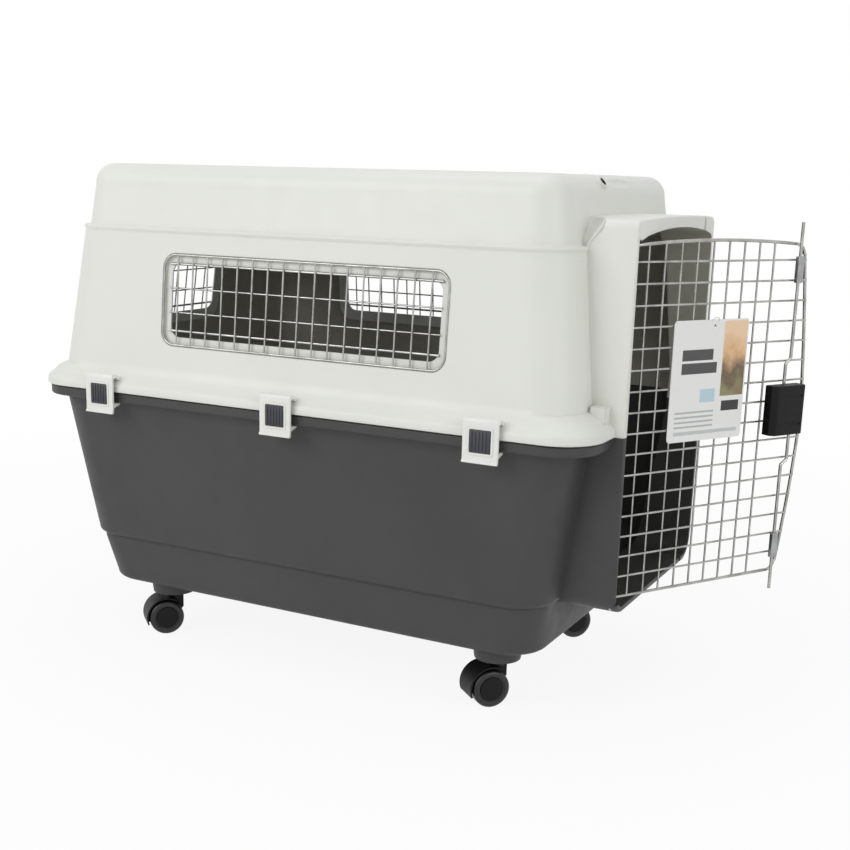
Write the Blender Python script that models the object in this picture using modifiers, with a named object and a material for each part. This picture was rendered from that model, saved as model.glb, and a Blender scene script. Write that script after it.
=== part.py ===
"""Wheeled pet travel crate, modelled at its real size in metres, +Z up, door end at +X.

Two moulded half shells meet at a flange and are held by side clips. The door is a welded wire
grid that swings on its own wire ends, and its latch drives one rod up and one rod down.
"""

import math

import bmesh
import bpy
from mathutils import Matrix, Vector

# Shell levels above the floor
FLOOR_Z = 0.083
FLOOR_ROUND = 0.009
BELT_Z = 0.156
SEAM_Z = 0.3703
FLANGE_HEIGHT = 0.0145
SKIRT_HEIGHT = 0.0105
LEDGE_Z = 0.589
ROOF_Z = 0.672

# Shell plan sizes: half widths, which all follow the skirt, and where the end walls stand
SKIRT_HALF = 0.262
FLANGE_INSET = 0.004
FLANGE_HALF = SKIRT_HALF - FLANGE_INSET
SKIRT_REAR = -0.421
SKIRT_FRONT = 0.407
SKIRT_CORNER = 0.058
BASE_TOP_HALF = SKIRT_HALF - 0.0195
BASE_TOP_REAR = -0.400
BASE_TOP_FRONT = 0.374
BASE_LOW_HALF = SKIRT_HALF - 0.040
BASE_LOW_REAR = -0.369
BASE_LOW_FRONT = 0.345
BELT_STEP = 0.007
FLOOR_HALF = SKIRT_HALF - 0.056
FLOOR_REAR = -0.351
FLOOR_FRONT = 0.329
WALL_FOOT_HALF = SKIRT_HALF - 0.0195
WALL_FOOT_REAR = -0.397
WALL_FOOT_FRONT = 0.376
WALL_FOOT_RISE = 0.034
LEDGE_HALF = SKIRT_HALF - 0.0355
LEDGE_REAR = -0.3725
LEDGE_FRONT = 0.358
LEDGE_DEPTH = 0.007
ROOF_TAPER = 0.009
ROOF_ROUND = 0.027
WALL = 0.003
CORNER = 0.055
CORNER_STEPS = 5

# Doorway collar and its opening
PORTAL_FRONT = 0.4185
PORTAL_HALF = 0.1675
PORTAL_TOP_HALF = 0.1620
PORTAL_TOP_Z = 0.622
PORTAL_BOTTOM_Z = 0.145
PORTAL_TOP_CORNER = 0.012
PORTAL_ARCH = 0.003
PORTAL_ROOT = 0.300
OPENING_HALF = 0.1580
OPENING_TOP_HALF = 0.1535
OPENING_LOW_HALF = 0.1550
OPENING_SIDE_Z = 0.600
OPENING_ARCH = 0.011
OPENING_BOTTOM_Z = 0.1525
OPENING_LOW_CORNER = 0.024
OPENING_TOP_CORNER = 0.006
ARCH_STEPS = 6
KEEPER_WIDTH = 0.0075
KEEPER_DEPTH = 0.016

# Windows, seen square on: outer size of the recess, its middle, and the opening inside it
WINDOW_LENGTH = 0.424
WINDOW_HEIGHT = 0.122
WINDOW_MIDDLE_X = 0.0045
WINDOW_MIDDLE_Z = 0.498
REAR_WINDOW_LENGTH = 0.250
WINDOW_CORNER = 0.020
WINDOW_RECESS = 0.0050
WINDOW_MARGIN = 0.0125
WINDOW_PAD = 0.0040

# Wires and the two grids
MESH_PITCH = 0.0254
WINDOW_PITCH = 0.0234
FRAME_WIRE = 0.0042
PIN_WIRE = 0.0046
GRID_WIRE = 0.0026
WINDOW_FRAME_WIRE = 0.0030
WINDOW_WIRE = 0.0022
WINDOW_ROD = 0.0032
WINDOW_ROD_INSET = 0.009
WINDOW_RODS = (
    (0.0472, WINDOW_ROD),
    (0.0159, WINDOW_WIRE),
    (-0.0159, WINDOW_WIRE),
    (-0.0401, WINDOW_ROD),
)
WELD_SINK = 0.0004
WELD_LAP = 0.0007
GRID_SIDES = 0

# Door, measured from its hinge line
DOOR_OPEN_DEG = 31.4
DOOR_WIDEST_DEG = 109.4
HINGE_X = 0.4089
HINGE_Y = -0.1500
DOOR_BOTTOM_Z = 0.167
DOOR_TOP_Z = 0.5930
DOOR_ARCH = 0.0060
DOOR_REACH = 0.3005
DOOR_TOP_REACH = 0.2800
DOOR_LOW_REACH = 0.2770
DOOR_CORNER = 0.012
DOOR_COLUMNS = 9
DOOR_ROWS = 16
FIRST_COLUMN = 0.0245
FIRST_ROW_Z = 0.5745
PIN_LENGTH = 0.0165

# Latch
HOUSING_WIDTH = 0.0550
HOUSING_HEIGHT = 0.0640
HOUSING_DEPTH = 0.018
HOUSING_MIDDLE_Z = 0.3862
HOUSING_FAR = 0.2835
ROD_WIRE = 0.0042
ROD_PLACE = 0.2665
UPPER_ROD_INNER = 0.2585
LOWER_ROD_INNER = 0.2760
UPPER_CRANK_Z = 0.4475
LOWER_CRANK_Z = 0.3150
CRANK_LENGTH = 0.009
ROD_TAIL = 0.010
ROD_REACH_UP = 0.6210
ROD_REACH_DOWN = 0.1430
ROD_TRAVEL = 0.0200
GUIDE_HEIGHT = 0.0330
UPPER_GUIDE_Z = 0.5625
LOWER_GUIDE_Z = 0.2030
GUIDE_WIDTH = 0.0105

# Side clips
CLIP_PITCH = 0.2847
CLIP_FIRST_X = -0.2904
CLIP_WIDTH = 0.046
CLIP_THICK = 0.0035
CLIP_DROP = 0.029
CLIP_FLARE = 0.006
CLIP_PIVOT_Z = 0.3895
CLIP_PIVOT_OUT = SKIRT_HALF - 0.006
CLIP_FACE_GAP = 0.0042
BUTTON_SIZE = 0.0270
BUTTON_PROUD = 0.0016
BUTTON_RIBS = 6

# Casters
WHEEL_RADIUS = 0.025
WHEEL_WIDTH = 0.0165
WHEEL_GAP = 0.0105
AXLE_RADIUS = 0.003
WHEEL_STEPS = 18
GUARD_GAP = 0.0024
GUARD_OUT = 0.0050
CASTER_X = 0.262
CASTER_Y = FLOOR_HALF - 0.054
CASTER_TRAIL = 0.015
CASTER_TURN_DEG = 48.0
STEM_RADIUS = 0.0055
HOOD_TOP_Z = 0.0585
BOSS_DROP = 0.021
BOSS_FOOT_RADIUS = 0.0204
BOSS_ROOT_RADIUS = 0.0276

# Hang tag on the door
TAG_WIDTH = 0.1220
TAG_HEIGHT = 0.1490
TAG_THICK = 0.0012
TAG_TOP_Z = 0.5045
TAG_START = 0.0676

FIT = 0.0004
EDGE = 0.0012


def clear_scene():
    for obj in list(bpy.data.objects):
        bpy.data.objects.remove(obj)


def make_collection(name):
    made = bpy.data.collections.new(name)
    bpy.context.scene.collection.children.link(made)
    return made


def make_material(name, colour, roughness, metallic=0.0):
    made = bpy.data.materials.new(name)
    made.use_nodes = True
    shader = made.node_tree.nodes["Principled BSDF"]
    shader.inputs["Base Color"].default_value = (*colour, 1.0)
    shader.inputs["Roughness"].default_value = roughness
    shader.inputs["Metallic"].default_value = metallic
    return made


clear_scene()
PARTS = make_collection("pet_travel_crate")
CUTTERS = make_collection("cutters")
WHITE_PLASTIC = make_material("white_polypropylene", (0.80, 0.80, 0.77), 0.45)
GREY_PLASTIC = make_material("grey_polypropylene", (0.085, 0.085, 0.088), 0.5)
BUTTON_PLASTIC = make_material("slate_grey_polypropylene", (0.10, 0.10, 0.115), 0.45)
BLACK_PLASTIC = make_material("black_nylon", (0.02, 0.02, 0.02), 0.4)
TREAD = make_material("black_polyurethane", (0.025, 0.025, 0.026), 0.55)
CHROMED_WIRE = make_material("chromed_wire", (0.62, 0.62, 0.62), 0.22, 1.0)
ZINC_STEEL = make_material("zinc_plated_steel", (0.55, 0.55, 0.56), 0.35, 1.0)
CARD = make_material("printed_card", (0.85, 0.85, 0.83), 0.6)


def empty(name, place=(0.0, 0.0, 0.0), turn_z=0.0, parent=None):
    made = bpy.data.objects.new(name, None)
    made.empty_display_size = 0.02
    made.location = place
    made.rotation_euler = (0.0, 0.0, turn_z)
    made.parent = parent
    PARTS.objects.link(made)
    return made


def add_piece(name, mesh, material, parent=None, pivot=(0.0, 0.0, 0.0), matrix=None):
    """One sub-part; its mesh is drawn in its parent's frame and its origin goes to the pivot."""
    mesh.transform(Matrix.Translation(-Vector(pivot)))
    mesh.materials.clear()
    mesh.materials.append(material)
    made = bpy.data.objects.new(name, mesh)
    made.location = pivot
    made.parent = parent
    if matrix is not None:
        made.matrix_local = matrix
    PARTS.objects.link(made)
    mesh.shade_smooth()
    mesh.set_sharp_from_angle(angle=math.radians(35))
    return made


def add_cutter(name, mesh, parent=None, matrix=None):
    made = bpy.data.objects.new(name, mesh)
    made.parent = parent
    if matrix is not None:
        made.matrix_local = matrix
    made.hide_render = True
    made.display_type = "WIRE"
    CUTTERS.objects.link(made)
    return made


def combine(target, tool, operation):
    made = target.modifiers.new(f"{operation.lower()} {tool.name}", "BOOLEAN")
    made.object = tool
    made.operation = operation
    made.solver = "EXACT"
    return made


def finish_mesh(bm, name):
    bmesh.ops.recalc_face_normals(bm, faces=bm.faces)
    mesh = bpy.data.meshes.new(name)
    bm.to_mesh(mesh)
    bm.free()
    return mesh


def joined(meshes, name):
    """Several meshes as one, for tools that work on a group."""
    bm = bmesh.new()
    for mesh in meshes:
        bm.from_mesh(mesh)
        bpy.data.meshes.remove(mesh)
    return finish_mesh(bm, name)


def box(low, high, name="box"):
    bm = bmesh.new()
    low, high = Vector(low), Vector(high)
    place = Matrix.Translation((low + high) / 2) @ Matrix.Diagonal((*(high - low), 1.0))
    bmesh.ops.create_cube(bm, size=1.0, matrix=place)
    return finish_mesh(bm, name)


def cylinder(radius, start, end, sides=24, end_radius=None, name="cylinder"):
    bm = bmesh.new()
    start, end = Vector(start), Vector(end)
    along = end - start
    turn = along.to_track_quat("Z", "Y").to_matrix().to_4x4()
    place = Matrix.Translation((start + end) / 2) @ turn
    bmesh.ops.create_cone(
        bm,
        cap_ends=True,
        segments=sides,
        radius1=radius,
        radius2=radius if end_radius is None else end_radius,
        depth=along.length,
        matrix=place,
    )
    return finish_mesh(bm, name)


def extruded(outline, depth_axis, start, end, name="extruded"):
    """A flat outline swept straight along X or Y. Its points are (across, up)."""
    bm = bmesh.new()
    rings = []
    for depth in (start, end):
        if depth_axis == "X":
            ring = [bm.verts.new((depth, across, up)) for across, up in outline]
        else:
            ring = [bm.verts.new((across, depth, up)) for across, up in outline]
        rings.append(ring)
    bridge(bm, rings)
    return finish_mesh(bm, name)


def bridge(bm, rings):
    for lower, upper in zip(rings, rings[1:]):
        count = len(lower)
        for i in range(count):
            j = (i + 1) % count
            bm.faces.new((lower[i], lower[j], upper[j], upper[i]))
    bm.faces.new(list(reversed(rings[0])))
    bm.faces.new(rings[-1])


def arc(centre, radius, start_deg, end_deg, steps):
    for i in range(steps + 1):
        angle = math.radians(start_deg + (end_deg - start_deg) * i / steps)
        yield (centre[0] + radius * math.cos(angle), centre[1] + radius * math.sin(angle))


def rounded_outline(left, right, bottom, top, radius, steps=4):
    points = []
    points += arc((right - radius, bottom + radius), radius, -90, 0, steps)
    points += arc((right - radius, top - radius), radius, 0, 90, steps)
    points += arc((left + radius, top - radius), radius, 90, 180, steps)
    points += arc((left + radius, bottom + radius), radius, 180, 270, steps)
    return points


class Section:
    """One level of a shell: its height, half width, rear and front walls and corner radius."""

    def __init__(self, z, half, rear, front, corner=CORNER):
        self.z, self.half, self.rear, self.front, self.corner = z, half, rear, front, corner

    def moved(self, inset, rise=0.0):
        return Section(
            self.z + rise,
            self.half - inset,
            self.rear + inset,
            self.front - inset,
            max(self.corner - inset, 0.006),
        )

    def ring(self):
        flat = rounded_outline(
            self.rear, self.front, -self.half, self.half, self.corner, CORNER_STEPS
        )
        return [(x, y, self.z) for x, y in flat]


def between(low, high, z):
    """The section that the straight wall from low to high has at height z."""
    share = (z - low.z) / (high.z - low.z)

    def mix(name):
        first = getattr(low, name)
        return first + (getattr(high, name) - first) * share

    return Section(z, mix("half"), mix("rear"), mix("front"), mix("corner"))


def loft(sections, name):
    bm = bmesh.new()
    rings = [[bm.verts.new(point) for point in section.ring()] for section in sections]
    bridge(bm, rings)
    return finish_mesh(bm, name)


# Base shell, from the floor up to the flange at the seam
FLOOR_SECTION = Section(FLOOR_Z + FLOOR_ROUND, FLOOR_HALF, FLOOR_REAR, FLOOR_FRONT)
BELT_SECTION = Section(BELT_Z, BASE_LOW_HALF, BASE_LOW_REAR, BASE_LOW_FRONT)
BASE_TOP_SECTION = Section(
    SEAM_Z - FLANGE_HEIGHT, BASE_TOP_HALF, BASE_TOP_REAR, BASE_TOP_FRONT
)
SKIRT_SECTION = Section(SEAM_Z, SKIRT_HALF, SKIRT_REAR, SKIRT_FRONT, SKIRT_CORNER)


def base_outer():
    under_belt = BELT_SECTION.moved(BELT_STEP, -BELT_STEP)
    flange_low = SKIRT_SECTION.moved(FLANGE_INSET, -FLANGE_HEIGHT + EDGE)
    flange_foot = SKIRT_SECTION.moved(FLANGE_INSET + EDGE, -FLANGE_HEIGHT)
    flange_top = SKIRT_SECTION.moved(FLANGE_INSET, -FIT)
    return [
        FLOOR_SECTION.moved(FLOOR_ROUND, -FLOOR_ROUND),
        FLOOR_SECTION.moved(FLOOR_ROUND * 0.3, -FLOOR_ROUND * 0.7),
        FLOOR_SECTION,
        under_belt,
        BELT_SECTION,
        BASE_TOP_SECTION,
        flange_foot,
        flange_low,
        flange_top,
    ]


def base_inner():
    floor = FLOOR_SECTION.moved(FLOOR_ROUND, WALL - FLOOR_ROUND)
    return [
        floor,
        FLOOR_SECTION.moved(WALL),
        BELT_SECTION.moved(BELT_STEP + WALL, -BELT_STEP),
        BELT_SECTION.moved(WALL),
        BASE_TOP_SECTION.moved(WALL),
        BASE_TOP_SECTION.moved(WALL, FLANGE_HEIGHT + WALL),
    ]


def opening_outline():
    """The doorway, seen along X: straight sides that spread towards the seam, and an arched top."""
    corner = OPENING_LOW_CORNER
    right = []
    right += arc((OPENING_LOW_HALF - corner, OPENING_BOTTOM_Z + corner), corner, -90, 0, 5)
    right.append((OPENING_HALF, SEAM_Z))
    small = OPENING_TOP_CORNER
    right += arc((OPENING_TOP_HALF - small, OPENING_SIDE_Z - small), small, 0, 70, 3)
    arch = []
    for i in range(1, ARCH_STEPS):
        across = (OPENING_TOP_HALF - small) * (1 - 2 * i / ARCH_STEPS)
        share = across / OPENING_TOP_HALF
        arch.append((across, OPENING_SIDE_Z + OPENING_ARCH * (1 - share * share)))
    left = [(-across, up) for across, up in reversed(right)]
    return right + arch + left


def collar_low_outline():
    skin = OPENING_BOTTOM_Z - PORTAL_BOTTOM_Z
    corner = OPENING_LOW_CORNER + skin
    half = OPENING_LOW_HALF + skin
    right = list(arc((half - corner, PORTAL_BOTTOM_Z + corner), corner, -90, 0, 5))
    right.append((PORTAL_HALF, SEAM_Z - FIT))
    return right + [(-across, up) for across, up in reversed(right)]


def collar_high_outline():
    round_off = PORTAL_TOP_CORNER
    right = [(PORTAL_HALF, SEAM_Z)]
    right += arc(
        (PORTAL_TOP_HALF - round_off, PORTAL_TOP_Z - round_off), round_off, 0, 80, 4
    )
    arch = []
    for i in range(1, ARCH_STEPS):
        across = (PORTAL_TOP_HALF - round_off) * (1 - 2 * i / ARCH_STEPS)
        share = across / PORTAL_TOP_HALF
        arch.append((across, PORTAL_TOP_Z + PORTAL_ARCH * (1 - share * share)))
    return right + arch + [(-across, up) for across, up in reversed(right)]


def keeper_places():
    """Where the two latch rods stand when the door is closed, along Y."""
    return HINGE_Y + ROD_PLACE


def hinge_relief(name):
    """Room in the doorway's near edge for the door's wires when the door is open widest."""
    deep = GRID_WIRE * 1.5 + FIT * 0.5
    made = box(
        (-deep, -WALL, OPENING_BOTTOM_Z + DOOR_CORNER * 0.5), (deep, 0.03, OPENING_SIDE_Z), name
    )
    swing = Matrix.Rotation(-math.radians(DOOR_WIDEST_DEG), 4, "Z")
    made.transform(Matrix.Translation((HINGE_X, HINGE_Y, 0.0)) @ swing)
    return made


def base_shell(crate):
    made = add_piece("base_shell", loft(base_outer(), "base_outer"), GREY_PLASTIC, crate)
    collar = extruded(collar_low_outline(), "X", PORTAL_ROOT, PORTAL_FRONT, "collar")
    combine(made, add_cutter("base_collar", collar, crate), "UNION")
    bosses = []
    for x in (-CASTER_X, CASTER_X):
        for y in (-CASTER_Y, CASTER_Y):
            foot = (x, y, FLOOR_Z - BOSS_DROP)
            root = (x, y, FLOOR_Z + WALL / 2)
            bosses.append(cylinder(BOSS_FOOT_RADIUS, foot, root, 20, BOSS_ROOT_RADIUS))
    combine(made, add_cutter("caster_bosses", joined(bosses, "bosses"), crate), "UNION")
    combine(made, add_cutter("base_cavity", loft(base_inner(), "base_inner"), crate), "DIFFERENCE")
    doorway = extruded(opening_outline(), "X", PORTAL_ROOT - WALL, PORTAL_FRONT + WALL, "doorway")
    combine(made, add_cutter("low_doorway", doorway, crate), "DIFFERENCE")
    combine(made, add_cutter("low_relief", hinge_relief("relief"), crate), "DIFFERENCE")
    tools = []
    for x in (-CASTER_X, CASTER_X):
        for y in (-CASTER_Y, CASTER_Y):
            low = (x, y, FLOOR_Z - BOSS_DROP - WALL)
            tools.append(cylinder(STEM_RADIUS + FIT, low, (x, y, FLOOR_Z - EDGE), 20))
    combine(made, add_cutter("stem_sockets", joined(tools, "sockets"), crate), "DIFFERENCE")
    # A slot through the sill, open to the front, takes the lower latch rod
    rod = keeper_places()
    notch = box(
        (PORTAL_FRONT - KEEPER_DEPTH, rod - KEEPER_WIDTH / 2, PORTAL_BOTTOM_Z - WALL),
        (PORTAL_FRONT + WALL, rod + KEEPER_WIDTH / 2, OPENING_BOTTOM_Z + 0.02),
    )
    combine(made, add_cutter("low_keeper", notch, crate), "DIFFERENCE")
    pin = cylinder(
        PIN_WIRE / 2 + FIT,
        (HINGE_X, HINGE_Y, DOOR_BOTTOM_Z),
        (HINGE_X, HINGE_Y, PORTAL_BOTTOM_Z + EDGE),
        16,
    )
    combine(made, add_cutter("low_hinge_hole", pin, crate), "DIFFERENCE")
    return made


WALL_FOOT_SECTION = Section(
    SEAM_Z + WALL_FOOT_RISE, WALL_FOOT_HALF, WALL_FOOT_REAR, WALL_FOOT_FRONT
)
LEDGE_SECTION = Section(LEDGE_Z, LEDGE_HALF, LEDGE_REAR, LEDGE_FRONT)


def top_outer():
    roof_foot = LEDGE_SECTION.moved(LEDGE_DEPTH, WALL)
    shoulder = LEDGE_SECTION.moved(
        LEDGE_DEPTH + ROOF_TAPER, ROOF_Z - ROOF_ROUND - LEDGE_Z
    )
    sections = [
        SKIRT_SECTION,
        SKIRT_SECTION.moved(0.0, SKIRT_HEIGHT),
        SKIRT_SECTION.moved(0.0055, SKIRT_HEIGHT + 0.0040),
        SKIRT_SECTION.moved(0.0125, SKIRT_HEIGHT + 0.0100),
        WALL_FOOT_SECTION,
        LEDGE_SECTION,
        LEDGE_SECTION.moved(EDGE, EDGE),
        roof_foot,
    ]
    for degrees in (0, 30, 60, 90):
        angle = math.radians(degrees)
        inset = ROOF_ROUND * (1 - math.cos(angle))
        sections.append(shoulder.moved(inset, ROOF_ROUND * math.sin(angle)))
    return sections


def top_inner():
    foot = BASE_TOP_SECTION.moved(WALL)
    shoulder = LEDGE_SECTION.moved(
        LEDGE_DEPTH + ROOF_TAPER + WALL, ROOF_Z - ROOF_ROUND - LEDGE_Z
    )
    sections = [
        Section(SEAM_Z - WALL, foot.half, foot.rear, foot.front, foot.corner),
        WALL_FOOT_SECTION.moved(WALL),
        LEDGE_SECTION.moved(WALL, -WALL),
        LEDGE_SECTION.moved(LEDGE_DEPTH + WALL),
    ]
    inner_round = ROOF_ROUND - WALL
    for degrees in (0, 45, 90):
        angle = math.radians(degrees)
        inset = inner_round * (1 - math.cos(angle))
        sections.append(shoulder.moved(inset, inner_round * math.sin(angle)))
    return sections


def window_matrix(side):
    """The frame of a window: its X runs along the wall, its Z up the slope, its Y outwards."""
    rise = LEDGE_Z - WALL_FOOT_SECTION.z
    middle = between(WALL_FOOT_SECTION, LEDGE_SECTION, WINDOW_MIDDLE_Z)
    if side == "rear":
        lean = math.atan2(LEDGE_REAR - WALL_FOOT_REAR, rise)
        place = Vector((middle.rear, 0.0, WINDOW_MIDDLE_Z))
        heading = math.radians(90)
    else:
        lean = math.atan2(WALL_FOOT_HALF - LEDGE_HALF, rise)
        sign = -1 if side == "near" else 1
        place = Vector((WINDOW_MIDDLE_X, sign * middle.half, WINDOW_MIDDLE_Z))
        heading = math.radians(180) if side == "near" else 0.0
    return (
        Matrix.Translation(place)
        @ Matrix.Rotation(heading, 4, "Z")
        @ Matrix.Rotation(lean, 4, "X")
    )


def window_length(side):
    return REAR_WINDOW_LENGTH if side == "rear" else WINDOW_LENGTH


def top_shell(crate):
    made = add_piece("top_shell", loft(top_outer(), "top_outer"), WHITE_PLASTIC, crate)
    collar = extruded(collar_high_outline(), "X", PORTAL_ROOT, PORTAL_FRONT, "header")
    combine(made, add_cutter("top_collar", collar, crate), "UNION")
    combine(made, add_cutter("top_cavity", loft(top_inner(), "top_inner"), crate), "DIFFERENCE")
    doorway = extruded(opening_outline(), "X", PORTAL_ROOT - WALL, PORTAL_FRONT + WALL, "doorway")
    combine(made, add_cutter("high_doorway", doorway, crate), "DIFFERENCE")
    combine(made, add_cutter("high_relief", hinge_relief("relief"), crate), "DIFFERENCE")
    for side in ("near", "far", "rear"):
        place = window_matrix(side)
        half = window_length(side) / 2
        high = WINDOW_HEIGHT / 2
        corner = WINDOW_CORNER
        rim = WINDOW_PAD
        pad = extruded(
            rounded_outline(-half - rim, half + rim, -high - rim, high + rim, corner + rim),
            "Y", -WALL - WINDOW_PAD, -WALL / 2, "pad",
        )
        combine(made, add_cutter(f"{side}_window_pad", pad, crate, place), "UNION")
        recess = extruded(
            rounded_outline(-half, half, -high, high, corner), "Y", -WINDOW_RECESS, 0.02
        )
        combine(made, add_cutter(f"{side}_window_recess", recess, crate, place), "DIFFERENCE")
        edge = WINDOW_MARGIN
        gap = extruded(
            rounded_outline(
                -half + edge, half - edge, -high + edge, high - edge, corner - edge / 2
            ),
            "Y", -0.03, 0.03,
        )
        combine(made, add_cutter(f"{side}_window_gap", gap, crate, place), "DIFFERENCE")
    # The same slot through the header takes the upper latch rod
    rod = keeper_places()
    notch = box(
        (PORTAL_FRONT - KEEPER_DEPTH, rod - KEEPER_WIDTH / 2, OPENING_SIDE_Z - 0.02),
        (PORTAL_FRONT + WALL, rod + KEEPER_WIDTH / 2, PORTAL_TOP_Z + 0.01),
    )
    combine(made, add_cutter("high_keeper", notch, crate), "DIFFERENCE")
    pin = cylinder(
        PIN_WIRE / 2 + FIT,
        (HINGE_X, HINGE_Y, DOOR_TOP_Z),
        (HINGE_X, HINGE_Y, PORTAL_TOP_Z - EDGE - 0.004),
        16,
    )
    combine(made, add_cutter("high_hinge_hole", pin, crate), "DIFFERENCE")
    return made


def wire(points, diameter, name, sides_level=1, closed_loop=False):
    """A round wire along the points, as a closed mesh."""
    curve = bpy.data.curves.new(name, "CURVE")
    curve.dimensions = "3D"
    curve.bevel_depth = diameter / 2
    curve.bevel_resolution = sides_level
    curve.use_fill_caps = not closed_loop
    line = curve.splines.new("POLY")
    line.points.add(len(points) - 1)
    for point, place in zip(line.points, points):
        point.co = (*place, 1.0)
    line.use_cyclic_u = closed_loop
    holder = bpy.data.objects.new(name, curve)
    bpy.context.scene.collection.objects.link(holder)
    graph = bpy.context.evaluated_depsgraph_get()
    mesh = bpy.data.meshes.new_from_object(holder.evaluated_get(graph))
    bpy.data.objects.remove(holder)
    bm = bmesh.new()
    bm.from_mesh(mesh)
    bmesh.ops.remove_doubles(bm, verts=bm.verts, dist=1e-5)
    bpy.data.meshes.remove(mesh)
    return finish_mesh(bm, name)


def window_grille(side, crate):
    """A welded wire panel: rods and cross wires inside a rounded frame wire, seated in the recess."""
    half = window_length(side) / 2 - 0.0020
    high = WINDOW_HEIGHT / 2 - 0.0020
    frame_out = -WINDOW_RECESS + FIT + WINDOW_ROD + WINDOW_WIRE / 2 - WELD_SINK
    frame = [
        (x, frame_out, z)
        for x, z in rounded_outline(-half, half, -high, high, WINDOW_CORNER - 0.002)
    ]
    made_frame = wire(frame, WINDOW_FRAME_WIRE, "grille_frame", 1, True)
    uprights = []
    count = int((half - 0.006) / WINDOW_PITCH)
    for i in range(-count, count + 1):
        x = i * WINDOW_PITCH
        ends = [(x, frame_out, -high - WELD_SINK), (x, frame_out, high + WELD_SINK)]
        uprights.append(wire(ends, WINDOW_WIRE, "upright", GRID_SIDES))
    rods = []
    reach = half - WINDOW_ROD_INSET
    for z, size in WINDOW_RODS:
        back = frame_out - WINDOW_WIRE / 2 - size / 2 + WELD_SINK
        rods.append(wire([(-reach, back, z), (reach, back, z)], size, "rod", GRID_SIDES))
    made = add_piece(
        f"{side}_window_grille", joined(uprights, "uprights"), CHROMED_WIRE, crate,
        matrix=window_matrix(side),
    )
    place = window_matrix(side)
    combine(made, add_cutter(f"{side}_grille_frame", made_frame, crate, place), "UNION")
    combine(made, add_cutter(f"{side}_grille_rods", joined(rods, "rods"), crate, place), "UNION")
    return made


def door_edge_reach(z):
    """How far the free edge of the door stands from the hinge at a height."""
    if z >= SEAM_Z:
        share = (z - SEAM_Z) / (DOOR_TOP_Z - SEAM_Z)
        return DOOR_REACH + (DOOR_TOP_REACH - DOOR_REACH) * share ** 1.5
    share = (SEAM_Z - z) / (SEAM_Z - DOOR_BOTTOM_Z)
    return DOOR_REACH + (DOOR_LOW_REACH - DOOR_REACH) * share ** 1.5


def door_top(across):
    share = 2 * across / DOOR_TOP_REACH - 1
    return DOOR_TOP_Z + DOOR_ARCH * (1 - share * share)


def door_frame_points():
    """The frame wire, drawn in the closed position: X outwards, Y across, Z up."""
    points = [(0.0, 0.0, DOOR_BOTTOM_Z), (0.0, 0.0, DOOR_TOP_Z)]
    steps = 6
    corner = DOOR_CORNER
    for i in range(1, steps + 1):
        across = (DOOR_TOP_REACH - corner) * i / steps
        points.append((0.0, across, door_top(across)))
    points.append((0.0, DOOR_TOP_REACH - corner * 0.3, DOOR_TOP_Z - corner * 0.3))
    levels = 5
    top = DOOR_TOP_Z - corner
    low = DOOR_BOTTOM_Z + corner
    for i in range(levels + 1):
        z = top + (low - top) * i / levels
        points.append((0.0, door_edge_reach(z), z))
    points.append((0.0, DOOR_LOW_REACH - corner * 0.3, DOOR_BOTTOM_Z + corner * 0.3))
    points.append((0.0, DOOR_LOW_REACH - corner, DOOR_BOTTOM_Z))
    return points


def door_grille(hinge):
    frame = wire(door_frame_points(), FRAME_WIRE, "door_frame", 1, True)
    pins = [
        wire([(0, 0, DOOR_TOP_Z - 0.01), (0, 0, DOOR_TOP_Z + PIN_LENGTH)], PIN_WIRE, "pin", 2),
        wire([(0, 0, DOOR_BOTTOM_Z + 0.01), (0, 0, DOOR_BOTTOM_Z - PIN_LENGTH)], PIN_WIRE, "pin", 2),
    ]
    uprights = []
    for i in range(DOOR_COLUMNS):
        across = FIRST_COLUMN + i * MESH_PITCH
        ends = [(0.0, across, DOOR_BOTTOM_Z - WELD_LAP), (0.0, across, door_top(across) + WELD_LAP)]
        uprights.append(wire(ends, GRID_WIRE, "upright", GRID_SIDES))
    layer = GRID_WIRE - WELD_SINK
    crossings = []
    for i in range(DOOR_ROWS):
        z = FIRST_ROW_Z - i * MESH_PITCH
        reach = door_edge_reach(z)
        ends = [(layer, -WELD_LAP, z), (layer, reach + WELD_LAP, z)]
        crossings.append(wire(ends, GRID_WIRE, "crossing", GRID_SIDES))
    made = add_piece("door_grille", frame, CHROMED_WIRE, hinge)
    combine(made, add_cutter("door_pins", joined(pins, "pins"), hinge), "UNION")
    combine(made, add_cutter("door_uprights", joined(uprights, "uprights"), hinge), "UNION")
    combine(made, add_cutter("door_crossings", joined(crossings, "crossings"), hinge), "UNION")
    return made


ROD_LAYER = GRID_WIRE * 1.5 + ROD_WIRE / 2 + FIT * 2
HOUSING_BACK = GRID_WIRE * 1.5 + FIT
HOUSING_NEAR = HOUSING_FAR - HOUSING_WIDTH
HOUSING_LOW = HOUSING_MIDDLE_Z - HOUSING_HEIGHT / 2
HOUSING_HIGH = HOUSING_MIDDLE_Z + HOUSING_HEIGHT / 2


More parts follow.
